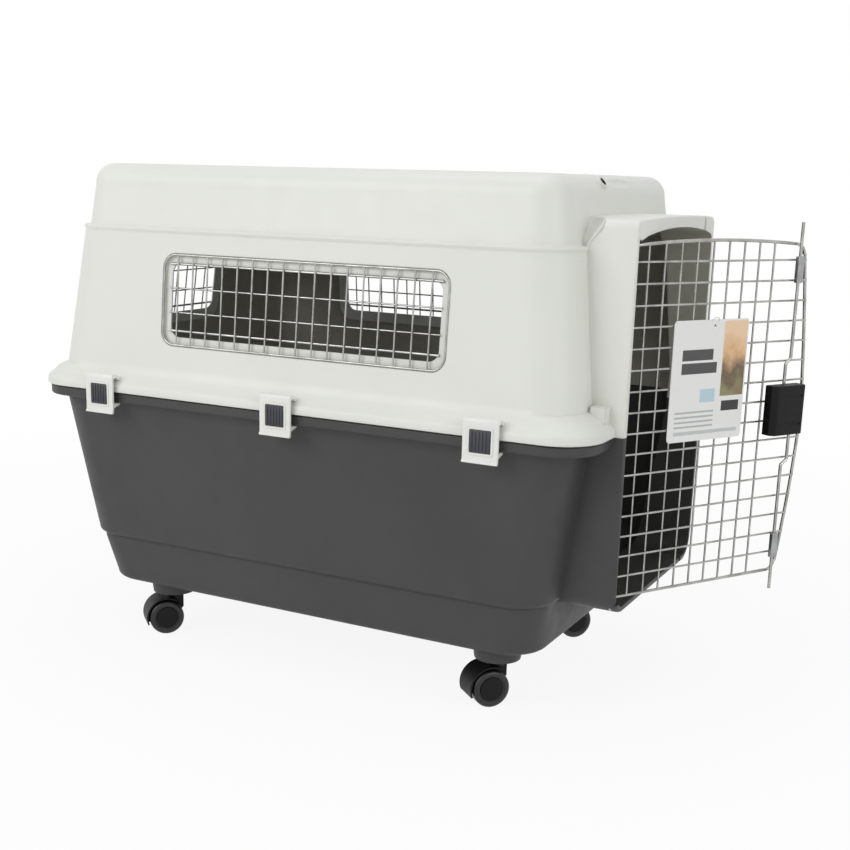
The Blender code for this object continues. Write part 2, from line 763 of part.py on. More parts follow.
def latch_housing(hinge):
    """A box on the outer face of the grid, bevelled on one edge, with a blind channel for each rod."""
    front = HOUSING_BACK + HOUSING_DEPTH
    slope = HOUSING_DEPTH / 3
    bm = bmesh.new()
    outline = [
        (HOUSING_BACK, HOUSING_NEAR),
        (front - slope, HOUSING_NEAR),
        (front, HOUSING_NEAR + slope),
        (front, HOUSING_FAR - EDGE * 2),
        (front - EDGE * 2, HOUSING_FAR),
        (HOUSING_BACK, HOUSING_FAR),
    ]
    rings = [
        [bm.verts.new((x, y, z)) for x, y in outline] for z in (HOUSING_LOW, HOUSING_HIGH)
    ]
    bridge(bm, rings)
    made = add_piece("latch_housing", finish_mesh(bm, "housing"), BLACK_PLASTIC, hinge)
    ease = made.modifiers.new("eased edges", "BEVEL")
    ease.width = 0.0008
    ease.segments = 1
    room = ROD_TRAVEL + ROD_TAIL + WALL
    wide = ROD_WIRE / 2 + FIT
    channels = [
        box(
            (HOUSING_BACK - WALL, UPPER_ROD_INNER - wide, HOUSING_HIGH - room),
            (ROD_LAYER + wide, UPPER_ROD_INNER + wide, HOUSING_HIGH + WALL),
        ),
        box(
            (HOUSING_BACK - WALL, LOWER_ROD_INNER - wide, HOUSING_LOW - WALL),
            (ROD_LAYER + wide, LOWER_ROD_INNER + wide, HOUSING_LOW + room),
        ),
    ]
    tools = add_cutter("rod_channels", joined(channels, "channels"), hinge)
    combine(made, tools, "DIFFERENCE")
    return made


def latch_rod(name, up, holder):
    """A cranked wire: out of the housing, one sidestep to pinch, then past the end of the door."""
    sign = 1 if up else -1
    inner = UPPER_ROD_INNER if up else LOWER_ROD_INNER
    start = HOUSING_HIGH - ROD_TAIL if up else HOUSING_LOW + ROD_TAIL
    crank = UPPER_CRANK_Z if up else LOWER_CRANK_Z
    end = ROD_REACH_UP if up else ROD_REACH_DOWN
    bend = CRANK_LENGTH / 2
    step = ROD_PLACE - inner
    points = [
        (ROD_LAYER, inner, start),
        (ROD_LAYER, inner, crank - sign * bend),
        (ROD_LAYER, inner + step * 0.15, crank - sign * bend * 0.45),
        (ROD_LAYER, ROD_PLACE - step * 0.15, crank + sign * bend * 0.45),
        (ROD_LAYER, ROD_PLACE, crank + sign * bend),
        (ROD_LAYER, ROD_PLACE, end),
    ]
    return add_piece(name, wire(points, ROD_WIRE, name, 2), CHROMED_WIRE, holder)


def rod_guide(name, z, hinge):
    """A folded steel strip that ties the rod to the grid."""
    outer = ROD_LAYER + ROD_WIRE / 2 + FIT + 0.001
    inner = GRID_WIRE * 1.5 + FIT * 0.5
    plate = box(
        (inner, ROD_PLACE - GUIDE_WIDTH / 2, z - GUIDE_HEIGHT / 2),
        (outer, ROD_PLACE + GUIDE_WIDTH / 2, z + GUIDE_HEIGHT / 2),
    )
    made = add_piece(name, plate, ZINC_STEEL, hinge)
    bore = box(
        (inner - WALL, ROD_PLACE - ROD_WIRE / 2 - FIT, z - GUIDE_HEIGHT),
        (ROD_LAYER + ROD_WIRE / 2 + FIT, ROD_PLACE + ROD_WIRE / 2 + FIT, z + GUIDE_HEIGHT),
    )
    combine(made, add_cutter(f"{name}_channel", bore, hinge), "DIFFERENCE")
    return made


def hang_tag(hinge):
    """A plain coated card that hangs flat against the outer face of the door's grid."""
    face = GRID_WIRE * 1.5 + FIT
    card = extruded(
        rounded_outline(
            TAG_START, TAG_START + TAG_WIDTH, TAG_TOP_Z - TAG_HEIGHT, TAG_TOP_Z, 0.004, 3
        ),
        "X", face, face + TAG_THICK, "card",
    )
    return add_piece("hang_tag", card, CARD, hinge)


def clip_outline(out):
    """The clip's section across the rim, as (distance out from the middle, up)."""
    face = SKIRT_HALF + CLIP_FACE_GAP
    outer = face + CLIP_THICK
    top = CLIP_PIVOT_Z + 0.0055
    foot = SEAM_Z - CLIP_DROP
    hook_top = SEAM_Z - FLANGE_HEIGHT - 0.0006
    barrel = 0.0030
    points = []
    points += [
        (CLIP_PIVOT_OUT + a, CLIP_PIVOT_Z + b) for a, b in arc((0, 0), barrel, 90, 300, 4)
    ]
    points += [
        (CLIP_PIVOT_OUT + barrel + 0.001, CLIP_PIVOT_Z + 0.001),
        (face, CLIP_PIVOT_Z - 0.001),
        (face, hook_top),
        (FLANGE_HALF - 0.0040, hook_top),
        (FLANGE_HALF - 0.0040, hook_top - 0.0025),
        (face, hook_top - 0.0060),
        (outer + CLIP_FLARE - 0.0015, foot),
        (outer + CLIP_FLARE, foot + 0.0010),
        (outer, hook_top - 0.0050),
        (outer, top - 0.0045),
        (outer - 0.0015, top - 0.0015),
        (outer - 0.0050, top),
    ]
    return [(out * y, z) for y, z in points]


def side_clip(name, x, out, crate):
    """A snap clip and its press button; out is -1 on the near side and 1 on the far side."""
    pivot = empty(f"{name}_hinge", (x, out * CLIP_PIVOT_OUT, CLIP_PIVOT_Z), 0.0, crate)
    body = extruded(clip_outline(out), "X", -CLIP_WIDTH / 2, CLIP_WIDTH / 2, name)
    body.transform(Matrix.Translation((0.0, -out * CLIP_PIVOT_OUT, -CLIP_PIVOT_Z)))
    made = add_piece(f"{name}_body", body, WHITE_PLASTIC, pivot)
    middle_z = SEAM_Z - 0.0025 - CLIP_PIVOT_Z
    inner = SKIRT_HALF + CLIP_FACE_GAP - CLIP_PIVOT_OUT
    outer = inner + CLIP_THICK
    half = BUTTON_SIZE / 2

    def slab(size, start, end):
        ends = sorted((out * start, out * end))
        return box((-size, ends[0], middle_z - size), (size, ends[1], middle_z + size))

    window = slab(half + FIT, inner - WALL, outer + WALL)
    combine(made, add_cutter(f"{name}_window", window, pivot), "DIFFERENCE")
    button = add_piece(
        f"{name}_button", slab(half, inner, outer + BUTTON_PROUD - 0.001), BUTTON_PLASTIC, pivot
    )
    ribs = []
    pitch = BUTTON_SIZE / BUTTON_RIBS
    for i in range(BUTTON_RIBS):
        centre = -half + pitch * (i + 0.5)
        ends = sorted((out * (inner + 0.001), out * (outer + BUTTON_PROUD)))
        ribs.append(
            box(
                (centre - pitch * 0.3, ends[0], middle_z - half + 0.0012),
                (centre + pitch * 0.3, ends[1], middle_z + half - 0.0012),
            )
        )
    combine(button, add_cutter(f"{name}_ribs", joined(ribs, "ribs"), pivot), "UNION")
    return made


def wheel_profile(start, sign):
    """Half a twin wheel, as (along the axle, radius)."""
    width = WHEEL_WIDTH
    bore = AXLE_RADIUS + FIT
    hollow = 0.003
    return [
        (start, bore),
        (start, WHEEL_RADIUS - 0.0015),
        (start + sign * 0.0015, WHEEL_RADIUS),
        (start + sign * (width - 0.0035), WHEEL_RADIUS),
        (start + sign * (width - 0.0010), WHEEL_RADIUS - 0.0025),
        (start + sign * width, WHEEL_RADIUS - 0.0050),
        (start + sign * (width - hollow * 0.5), WHEEL_RADIUS - 0.0065),
        (start + sign * (width - hollow * 0.5), bore),
    ]


def turned(profile, axis_place, steps, name):
    """A closed profile turned about the local Y axis; its flats reach the stated radii."""
    bm = bmesh.new()
    flat = 1 / math.cos(math.pi / steps)
    rings = []
    for i in range(steps):
        angle = 2 * math.pi * i / steps
        ring = []
        for along, radius in profile:
            ring.append(
                bm.verts.new(
                    (
                        axis_place[0] + radius * flat * math.cos(angle),
                        axis_place[1] + along,
                        axis_place[2] + radius * flat * math.sin(angle),
                    )
                )
            )
        rings.append(ring)
    count = len(profile)
    for i in range(steps):
        near, far = rings[i], rings[(i + 1) % steps]
        for j in range(count):
            k = (j + 1) % count
            bm.faces.new((near[j], near[k], far[k], far[j]))
    return finish_mesh(bm, name)


def hood_outline():
    """The hood over the wheels, seen along the axle, with the swivel stem at the origin."""
    centre = (-CASTER_TRAIL, WHEEL_RADIUS)
    radius = WHEEL_RADIUS + 0.0020
    points = []
    points += arc(centre, radius, 200, 90, 4)
    points += [
        (-0.006, HOOD_TOP_Z - 0.0035),
        (-0.004, HOOD_TOP_Z),
        (0.010, HOOD_TOP_Z),
        (0.012, HOOD_TOP_Z - 0.002),
        (0.012, 0.036),
        (0.004, 0.026),
        (-CASTER_TRAIL + 0.0065, 0.014),
        (-CASTER_TRAIL - 0.0065, 0.014),
    ]
    return points


def caster(name, x, y, crate):
    """A twin-wheel caster: stem and hood in one moulding, an axle and two wheels."""
    swivel = empty(f"{name}_swivel", (x, y, 0.0), math.radians(CASTER_TURN_DEG), crate)
    half_gap = WHEEL_GAP / 2
    web = extruded(hood_outline(), "Y", -half_gap + FIT, half_gap - FIT, "web")
    made = add_piece(f"{name}_hood", web, BLACK_PLASTIC, swivel)
    stem = [
        cylinder(0.0095, (0.0, 0.0, HOOD_TOP_Z - 0.008), (0.0, 0.0, HOOD_TOP_Z + 0.0025), 16),
        cylinder(STEM_RADIUS, (0.0, 0.0, HOOD_TOP_Z - 0.002), (0.0, 0.0, FLOOR_Z - EDGE - FIT), 16),
    ]
    for i, mesh in enumerate(stem):
        combine(made, add_cutter(f"{name}_stem_{i}", mesh, swivel), "UNION")
    centre = (-CASTER_TRAIL, WHEEL_RADIUS)
    reach = half_gap + WHEEL_WIDTH - 0.003
    cover = list(arc(centre, WHEEL_RADIUS + GUARD_OUT, 200, 62, 5))
    cover += list(arc(centre, WHEEL_RADIUS + GUARD_GAP, 62, 200, 5))
    guard = extruded(cover, "Y", -reach, reach, "guard")
    combine(made, add_cutter(f"{name}_guard", guard, swivel), "UNION")
    hole = cylinder(
        AXLE_RADIUS + FIT,
        (-CASTER_TRAIL, -half_gap - WALL, WHEEL_RADIUS),
        (-CASTER_TRAIL, half_gap + WALL, WHEEL_RADIUS),
        16,
    )
    combine(made, add_cutter(f"{name}_axle_hole", hole, swivel), "DIFFERENCE")
    axle_reach = half_gap + WHEEL_WIDTH - 0.0020
    axle = cylinder(
        AXLE_RADIUS,
        (-CASTER_TRAIL, -axle_reach, WHEEL_RADIUS),
        (-CASTER_TRAIL, axle_reach, WHEEL_RADIUS),
        16,
    )
    hub = (-CASTER_TRAIL, 0.0, WHEEL_RADIUS)
    add_piece(f"{name}_axle", axle, ZINC_STEEL, swivel)
    for side, sign in (("left", 1), ("right", -1)):
        profile = wheel_profile(sign * half_gap, sign)
        wheel = turned(profile, hub, WHEEL_STEPS, "wheel")
        add_piece(f"{name}_{side}_wheel", wheel, TREAD, swivel, hub)
    return made


def build_crate():
    crate = empty("crate")
    base_shell(crate)
    top_shell(crate)
    for side in ("near", "far", "rear"):
        window_grille(side, crate)
    hinge = empty(
        "door_hinge", (HINGE_X, HINGE_Y, 0.0), -math.radians(DOOR_OPEN_DEG), crate
    )
    door_grille(hinge)
    latch_housing(hinge)
    upper = empty("upper_rod_slide", parent=hinge)
    lower = empty("lower_rod_slide", parent=hinge)
    latch_rod("upper_latch_rod", True, upper)
    latch_rod("lower_latch_rod", False, lower)
    rod_guide("upper_rod_guide", UPPER_GUIDE_Z, hinge)
    rod_guide("lower_rod_guide", LOWER_GUIDE_Z, hinge)
    hang_tag(hinge)
    for side, out in (("near", -1), ("far", 1)):
        for place, index in (("rear", 0), ("middle", 1), ("front", 2)):
            x = CLIP_FIRST_X + index * CLIP_PITCH
            side_clip(f"{side}_{place}_clip", x, out, crate)
    for end, x in (("rear", -CASTER_X), ("front", CASTER_X)):
        for side, y in (("near", -CASTER_Y), ("far", CASTER_Y)):
            caster(f"{end}_{side}_caster", x, y, crate)
    return crate


def footprint_middle():
    """Half way between the rearmost and foremost points of all the pieces."""
    bpy.context.view_layer.update()
    graph = bpy.context.evaluated_depsgraph_get()
    reach = []
    for obj in PARTS.objects:
        if obj.type != "MESH":
            continue
        solid = obj.evaluated_get(graph)
        reach += [(solid.matrix_world @ Vector(corner)).x for corner in solid.bound_box]
    return (min(reach) + max(reach)) / 2


CRATE = build_crate()
CRATE.location.x = -footprint_middle()
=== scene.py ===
"""The looks of the wheeled pet travel crate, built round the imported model, in metres, +Z up."""

import math

import bmesh
import bpy
from mathutils import Matrix, Vector


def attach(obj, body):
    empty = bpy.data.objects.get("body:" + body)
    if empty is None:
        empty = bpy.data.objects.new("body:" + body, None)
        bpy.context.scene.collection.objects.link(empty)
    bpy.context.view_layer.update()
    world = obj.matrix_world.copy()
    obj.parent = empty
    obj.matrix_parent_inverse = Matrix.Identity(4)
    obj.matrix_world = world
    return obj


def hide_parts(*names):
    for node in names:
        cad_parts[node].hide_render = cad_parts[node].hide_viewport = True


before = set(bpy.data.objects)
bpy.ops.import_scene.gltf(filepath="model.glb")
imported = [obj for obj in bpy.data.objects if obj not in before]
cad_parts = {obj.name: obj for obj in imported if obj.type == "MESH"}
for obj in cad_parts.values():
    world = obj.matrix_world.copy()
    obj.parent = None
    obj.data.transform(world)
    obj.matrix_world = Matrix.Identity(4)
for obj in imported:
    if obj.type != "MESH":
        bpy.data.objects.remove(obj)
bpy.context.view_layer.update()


# The studio: a white sweep of paper on the floor, a large soft light on the camera's left,
# a weaker one on its right and one overhead. The camera stands low, beyond the door end; its
# place, turn and lens were fitted to the crate's straight edges.
CAMERA_TURN = (27.4386, 13.9146, 1.4725)
CAMERA_PLACE = (0.80526, -1.59512, 0.66265)
CAMERA_LENS = 54.224
CAMERA_SHIFT = (0.0133, 0.0823)
SWEEP_HALF = 14.0
SHADOW_NEAR, SHADOW_FAR = 0.5, 2.0
SWEEP_GLOW_NEAR = 0.90
AMBIENT = 0.48


def srgb(code):
    """A screen colour such as #e0e0da as the linear values that a shader takes."""
    shares = [int(code[i : i + 2], 16) / 255 for i in (1, 3, 5)]
    linear = [s / 12.92 if s <= 0.04045 else ((s + 0.055) / 1.055) ** 2.4 for s in shares]
    return (*linear, 1.0)


def put(tree, socket, value):
    """Links an input where it is given a socket, and sets it where it is given a value."""
    if isinstance(value, bpy.types.NodeSocket):
        tree.links.new(value, socket)
    else:
        socket.default_value = value


def add_node(tree, kind, settings=None, **inputs):
    """Adds a node; an input's name is written with _ for each space."""
    made = tree.nodes.new(kind)
    for name, value in (settings or {}).items():
        setattr(made, name, value)
    for name, value in inputs.items():
        put(tree, made.inputs[name.replace("_", " ")], value)
    return made


def maths(tree, operation, *values):
    """The result of one sum on values or sockets, as a socket."""
    made = add_node(tree, "ShaderNodeMath", {"operation": operation})
    for socket, value in zip(made.inputs, values):
        put(tree, socket, value)
    return made.outputs[0]


def ranged(tree, value, low, high, **source):
    """A share spread over a range of values; its own range is 0 to 1 unless one is given."""
    made = add_node(tree, "ShaderNodeMapRange", Value=value, To_Min=low, To_Max=high, **source)
    return made.outputs["Result"]


def new_material(name):
    made = bpy.data.materials.new(name)
    made.use_nodes = True
    return made, made.node_tree, made.node_tree.nodes["Principled BSDF"]


def seen_itself(tree):
    """1 for a ray that the eye sends out, also by way of a gloss or through something clear."""
    path = add_node(tree, "ShaderNodeLightPath")
    share = path.outputs["Is Camera Ray"]
    for kind in ("Is Glossy Ray", "Is Transmission Ray"):
        share = maths(tree, "MAXIMUM", share, path.outputs[kind])
    return share


def lay_over(tree, share, under, over, end):
    """Shows one shader over another by a share, at the tree's end node."""
    mix = add_node(tree, "ShaderNodeMixShader", Fac=share)
    tree.links.new(under.outputs[0], mix.inputs[1])
    tree.links.new(over.outputs[0], mix.inputs[2])
    tree.links.new(mix.outputs[0], tree.nodes[end].inputs["Surface"])


def plain_mesh(bm, name):
    made = bpy.data.meshes.new(name)
    bm.to_mesh(made)
    bm.free()
    return made


def new_object(name, mesh, material):
    made = bpy.data.objects.new(name, mesh)
    mesh.materials.clear()
    mesh.materials.append(material)
    bpy.context.scene.collection.objects.link(made)
    return made


camera = bpy.data.objects.new("camera", bpy.data.cameras.new("camera"))
bpy.context.scene.collection.objects.link(camera)
bpy.context.scene.camera = camera
yaw, pitch, roll = (math.radians(angle) for angle in CAMERA_TURN)
look = Vector(
    (-math.sin(yaw) * math.cos(pitch), math.cos(yaw) * math.cos(pitch), -math.sin(pitch))
)
level_right = Vector((math.cos(yaw), math.sin(yaw), 0.0))
level_up = level_right.cross(look)
right = math.cos(roll) * level_right + math.sin(roll) * level_up
up = math.cos(roll) * level_up - math.sin(roll) * level_right
facing = Matrix((right, up, -look)).transposed().to_4x4()
camera.matrix_world = Matrix.Translation(CAMERA_PLACE) @ facing
camera.data.sensor_width = 36.0
camera.data.lens = CAMERA_LENS
camera.data.shift_x, camera.data.shift_y = CAMERA_SHIFT

# White paper, matt. The eye sees it nearly white near the crate, so the soft shadow shows
# there, and fully white further out, so the sweep has no edge.
paper, tree, shader = new_material("white_paper_sweep")
shader.inputs["Base Color"].default_value = srgb("#f2f2f0")
shader.inputs["Roughness"].default_value = 0.9
glow = add_node(tree, "ShaderNodeEmission", Color=srgb("#ffffff"), Strength=1.0)
where = add_node(tree, "ShaderNodeTexCoord").outputs["Object"]
away = add_node(tree, "ShaderNodeVectorMath", {"operation": "LENGTH"}, Vector=where)
fade = ranged(
    tree, away.outputs["Value"], SWEEP_GLOW_NEAR, 1.0, From_Min=SHADOW_NEAR, From_Max=SHADOW_FAR
)
share = maths(tree, "MULTIPLY", seen_itself(tree), fade)
lay_over(tree, share, shader, glow, "Material Output")

sweep = bmesh.new()
bmesh.ops.create_grid(sweep, x_segments=8, y_segments=8, size=SWEEP_HALF)
floor = new_object("paper_sweep", plain_mesh(sweep, "paper_sweep"), paper)

world = bpy.data.worlds.new("studio")
bpy.context.scene.world = world
world.use_nodes = True
tree = world.node_tree
ambient = tree.nodes["Background"]
ambient.inputs["Color"].default_value = srgb("#f4f6f8")
ambient.inputs["Strength"].default_value = AMBIENT
backdrop = add_node(tree, "ShaderNodeBackground", Color=srgb("#ffffff"), Strength=1.0)
lay_over(tree, seen_itself(tree), ambient, backdrop, "World Output")


def soft_light(name, place, aim, width, power):
    """A softbox, a little wider than high, turned to face a point."""
    lamp = bpy.data.objects.new(name, bpy.data.lights.new(name, "AREA"))
    lamp.data.shape = "RECTANGLE"
    lamp.data.size = width
    lamp.data.size_y = width * 0.8
    lamp.data.energy = power
    lamp.location = place
    lamp.rotation_euler = (Vector(aim) - Vector(place)).to_track_quat("-Z", "Y").to_euler()
    bpy.context.scene.collection.objects.link(lamp)


soft_light("left_softbox", (-1.6, -3.0, 2.0), (0.0, 0.0, 0.35), 2.4, 50.0)
soft_light("right_softbox", (2.9, -1.0, 1.6), (0.1, 0.0, 0.35), 1.8, 22.0)
soft_light("top_softbox", (-0.1, 0.1, 3.2), (0.0, 0.0, 0.4), 2.4, 20.0)
bpy.context.scene.view_settings.view_transform = "Standard"


# The base tub: one injection-moulded tray of dark grey polypropylene, with a fine matt grain.
# Its walls lean out from a rounded floor past a soft belt to a flange under the seam, and the
# doorway's lower half stands forward of its front wall. Four bosses under it take the casters.
FOOTPRINT_SHIFT = -0.07732
SMOOTH_BELOW_DEG = 32.0
OVERCUT = 0.003
WALL = 0.003
CORNER_STEPS = 14
LEAST_CORNER = 0.008
FLOOR_ROUND = 0.009
SEAM_Z = 0.3703
FLANGE_HEIGHT = 0.0145
PORTAL_BACK = 0.300
PORTAL_FRONT = 0.4185
PORTAL_HALF = 0.1675
PORTAL_LOW_HALF = 0.1625
PORTAL_BOTTOM_Z = 0.145
OPENING_BOTTOM_Z = 0.1525
OPENING_SIDE_Z = 0.600
OPENING_LOW_HALF = 0.1550
OPENING_SEAM_HALF = 0.1580
OPENING_TOP_HALF = 0.1535
OPENING_LOW_CORNER = 0.024
OPENING_TOP_CORNER = 0.010
OPENING_ARCH = 0.011
HINGE_X = 0.4089
HINGE_Y = -0.1500
PIN_HOLE = 0.0027
DOOR_WIDEST_DEG = 109.4
RELIEF_HALF = 0.0041
ROD_PLACE = 0.2665
KEEPER_Y = HINGE_Y + ROD_PLACE
KEEPER_HALF = 0.00375
KEEPER_BACK = 0.4025
CASTER_X = 0.262
CASTER_Y = 0.152
BOSS_BOTTOM_Z, BOSS_TOP_Z = 0.062, 0.0845
BOSS_RADIUS, BOSS_ROOT_RADIUS = 0.0305, 0.0335
SOCKET_TOP_Z = 0.0818
SOCKET_RADIUS = 0.0059


def arc(centre, radius, start_deg, end_deg, steps):
    for i in range(steps + 1):
        angle = math.radians(start_deg + (end_deg - start_deg) * i / steps)
        yield (centre[0] + radius * math.cos(angle), centre[1] + radius * math.sin(angle))


def rounded_rectangle(left, right, bottom, top, radius, steps=8):
    points = []
    points += arc((right - radius, bottom + radius), radius, -90, 0, steps)
    points += arc((right - radius, top - radius), radius, 0, 90, steps)
    points += arc((left + radius, top - radius), radius, 90, 180, steps)
    points += arc((left + radius, bottom + radius), radius, 180, 270, steps)
    return points


def mesh_from(bm, name):
    """A clean mesh from a working one, with doubled points joined and its faces turned out."""
    bmesh.ops.remove_doubles(bm, verts=bm.verts, dist=1e-6)
    bmesh.ops.recalc_face_normals(bm, faces=bm.faces)
    return plain_mesh(bm, name)


def skin_rings(rings, name, closed_run=False):
    """A closed skin over rings of equal count; its ends are capped unless the run closes."""
    bm = bmesh.new()
    rows = [[bm.verts.new(point) for point in ring] for ring in rings]
    pairs = list(zip(rows, rows[1:]))
    if closed_run:
        pairs.append((rows[-1], rows[0]))
    for low, high in pairs:
        for i in range(len(low)):
            j = (i + 1) % len(low)
            bm.faces.new((low[i], low[j], high[j], high[i]))
    if not closed_run:
        bm.faces.new(rows[0][::-1])
        bm.faces.new(rows[-1])
    return mesh_from(bm, name)


# A level is the plan of the walls at one height: (height, half width, rear end, front end,
# corner radius). The walls are skinned over a stack of levels.
def moved(level, inset, rise):
    """A level drawn in and raised."""
    z, half, rear, front, corner = level
    return (z + rise, half - inset, rear + inset, front - inset, max(corner - inset, LEAST_CORNER))


def follow(level, *steps):
    """Levels that leave one level by (inset, rise) steps."""
    return [moved(level, inset, rise) for inset, rise in steps]


def quarter_round(level, radius, steps, inset=0.0, way=1):
    """Levels of a rounded edge that closes over one level, or under it where way is -1."""
    angles = (math.radians(90 * i / steps) for i in range(steps + 1))
    return [
        moved(level, inset + radius * (1 - math.cos(angle)), way * radius * math.sin(angle))
        for angle in angles
    ]


def shell_solid(levels, name):
    rings = []
    for z, half, rear, front, corner in levels:
        plan = rounded_rectangle(rear, front, -half, half, corner, CORNER_STEPS)
        rings.append([(x, y, z) for x, y in plan])
    return skin_rings(rings, name)


def slab(outline, axis, start, end, name):
    """A flat outline run straight along X or Y; its points are (across, up)."""
    rings = []
    for depth in (start, end):
        if axis == "X":
            rings.append([(depth, across, up) for across, up in outline])
        else:
            rings.append([(across, depth, up) for across, up in outline])
    return skin_rings(rings, name)


def block(low, high, name):
    low, high = Vector(low), Vector(high)
    bm = bmesh.new()
    size = Matrix.Diagonal((*(high - low), 1.0))
    bmesh.ops.create_cube(bm, size=1.0, matrix=Matrix.Translation((low + high) / 2) @ size)
    return mesh_from(bm, name)


def rod(start, end, radius, name, sides=32, end_radius=None):
    """A round bar between two points, tapered where an end radius is given."""
    start, end = Vector(start), Vector(end)
    turn = (end - start).to_track_quat("Z", "Y").to_matrix().to_4x4()
    bm = bmesh.new()
    bmesh.ops.create_cone(
        bm,
        cap_ends=True,
        segments=sides,
        radius1=radius,
        radius2=radius if end_radius is None else end_radius,
        depth=(end - start).length,
        matrix=Matrix.Translation((start + end) / 2) @ turn,
    )
    return mesh_from(bm, name)


def merged(meshes, name):
    bm = bmesh.new()
    for mesh in meshes:
        bm.from_mesh(mesh)
        bpy.data.meshes.remove(mesh)
    return mesh_from(bm, name)


def add(mesh, matrix=None):
    """A Boolean step that joins a shape to the piece."""
    return mesh, "UNION", None, matrix


def cut(mesh, finish=None, matrix=None):
    """A Boolean step that cuts a shape out; a finish is for the faces that it leaves."""
    return mesh, "DIFFERENCE", finish, matrix


def settle(piece, *steps):
    """Takes the Boolean steps in turn and makes the result a plain mesh."""
    tools = []
    for mesh, operation, finish, matrix in steps:
        tools.append(new_object(mesh.name, mesh, finish or piece.data.materials[0]))
        if matrix is not None:
            mesh.transform(matrix)
        step = piece.modifiers.new(mesh.name, "BOOLEAN")
        step.object = tools[-1]
        step.operation = operation
        step.solver = "EXACT"
        step.material_mode = "TRANSFER"
    graph = bpy.context.evaluated_depsgraph_get()
    graph.update()
    plain = bpy.data.meshes.new_from_object(piece.evaluated_get(graph))
    piece.modifiers.clear()
    piece.data = plain
    for tool in tools:
        bpy.data.objects.remove(tool)
    return piece


def seat(piece, body, slot, *nodes, place=None):
    """Puts a finished piece in the row frame, smooths it and hands it to its CAD body."""
    if place is not None:
        piece.data.transform(place)
    piece.data.transform(Matrix.Translation((FOOTPRINT_SHIFT, 0.0, 0.0)))
    piece.data.shade_smooth()
    piece.data.set_sharp_from_angle(angle=math.radians(SMOOTH_BELOW_DEG))
    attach(piece, body)
    if nodes:
        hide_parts(*nodes)


def tone_ramp(tree, share, *stops):
    """Colours blended over rising (place, colour code) stops."""
    ramp = add_node(tree, "ShaderNodeValToRGB", Fac=share)
    elements = ramp.color_ramp.elements
    elements[0].position, elements[1].position = stops[0][0], stops[-1][0]
    for place, code in stops[1:-1]:
        elements.new(place)
    for element, (place, code) in zip(elements, stops):
        element.color = srgb(code)
    return ramp.outputs["Color"]


def noise(tree, where, scale, detail):
    made = add_node(tree, "ShaderNodeTexNoise", Vector=where, Scale=scale, Detail=detail)
    return made.outputs["Fac"]


def dress(tree, colour, gloss, height, strength, depth, **under):
    """Gives a material its colour, its roughness and a relief."""
    relief = add_node(
        tree, "ShaderNodeBump", Height=height, Strength=strength, Distance=depth, **under
    )
    shader = tree.nodes["Principled BSDF"]
    tree.links.new(colour, shader.inputs["Base Color"])
    tree.links.new(gloss, shader.inputs["Roughness"])
    tree.links.new(relief.outputs["Normal"], shader.inputs["Normal"])


MOTTLES_PER_METRE = 7.0
SCUFFS_PER_METRE = 38.0
GRAINS_PER_METRE = 900.0
GRAIN_DEPTH = 0.0003


def moulded_plastic(name, colour, shade, roughness, grain, rounding, specular=0.5):
    """Moulded thermoplastic: slight mottling, scuffed gloss, a matt grain and soft edges.

    The mottling drifts over 143 mm, as resin does in a large mould, and scuffs are 26 mm. A
    mould's grain is about 0.3 mm; it is drawn at 1.1 mm, which is as fine as the picture shows.
    """
    made, tree, shader = new_material(name)
    shader.inputs["Specular IOR Level"].default_value = specular
    where = add_node(tree, "ShaderNodeTexCoord").outputs["Object"]
    mottle = noise(tree, where, MOTTLES_PER_METRE, 5.0)
    tone = tone_ramp(tree, mottle, (0.3, shade), (0.7, colour))
    scuff = noise(tree, where, SCUFFS_PER_METRE, 6.0)
    gloss = ranged(
        tree, scuff, roughness - 0.05, roughness + 0.06, From_Min=0.35, From_Max=0.65
    )
    eased = add_node(tree, "ShaderNodeBevel", {"samples": 4}, Radius=rounding).outputs["Normal"]
    fine = noise(tree, where, GRAINS_PER_METRE, 2.0)
    dress(tree, tone, gloss, fine, grain, GRAIN_DEPTH, Normal=eased)
    return made


# Dark grey polypropylene: matt and even, with a weak sheen from the light of the floor.
grey_polypropylene = moulded_plastic(
    "dark_grey_polypropylene", "#444444", "#404040", 0.52, 0.25, 0.0025, specular=0.35
)
# The tub's inner face: painted shade, darker and duller, so that the cabin reads as deep.
grey_inside_painted_shade = moulded_plastic(
    "dark_grey_polypropylene_inner_face_painted_shade", "#2b2b29", "#272725", 0.60, 0.25, 0.002
)

floor_level = (0.092, 0.206, -0.351, 0.329, 0.055)
belt_level = (0.156, 0.222, -0.369, 0.345, 0.055)
base_top_level = (SEAM_Z - FLANGE_HEIGHT, 0.2425, -0.400, 0.374, 0.055)
flange_level = (SEAM_Z, 0.258, -0.417, 0.403, 0.054)

base_levels = quarter_round(floor_level, FLOOR_ROUND, 4, way=-1)[::-1]
# A groove under the belt's edge, the flange's rounded lip, and a dark gap under the skirt.
base_levels += follow(
    belt_level, (0.0083, -0.0115), (0.0084, -0.0066), (0.0066, -0.0042), (0.0019, -0.0016),
    (0.0003, 0.0006), (-0.0003, 0.0040),
)
base_levels += follow(base_top_level, (0.0, -0.0080), (-0.0015, -0.0025), (-0.0060, 0.0))
base_levels += follow(
    flange_level, (0.0016, -FLANGE_HEIGHT + 0.0002), (0.0002, -FLANGE_HEIGHT + 0.0018),
    (0.0, -0.0032), (0.0008, -0.0020), (0.0045, -0.0017), (0.0050, -0.0004),
)
base_inside = follow(
    floor_level, (FLOOR_ROUND, WALL - FLOOR_ROUND), (WALL + 0.001, -0.002)
)
base_inside += follow(belt_level, (WALL + 0.007, -0.007), (WALL, 0.001))
base_inside += follow(base_top_level, (WALL, 0.0), (WALL, FLANGE_HEIGHT + 0.003))


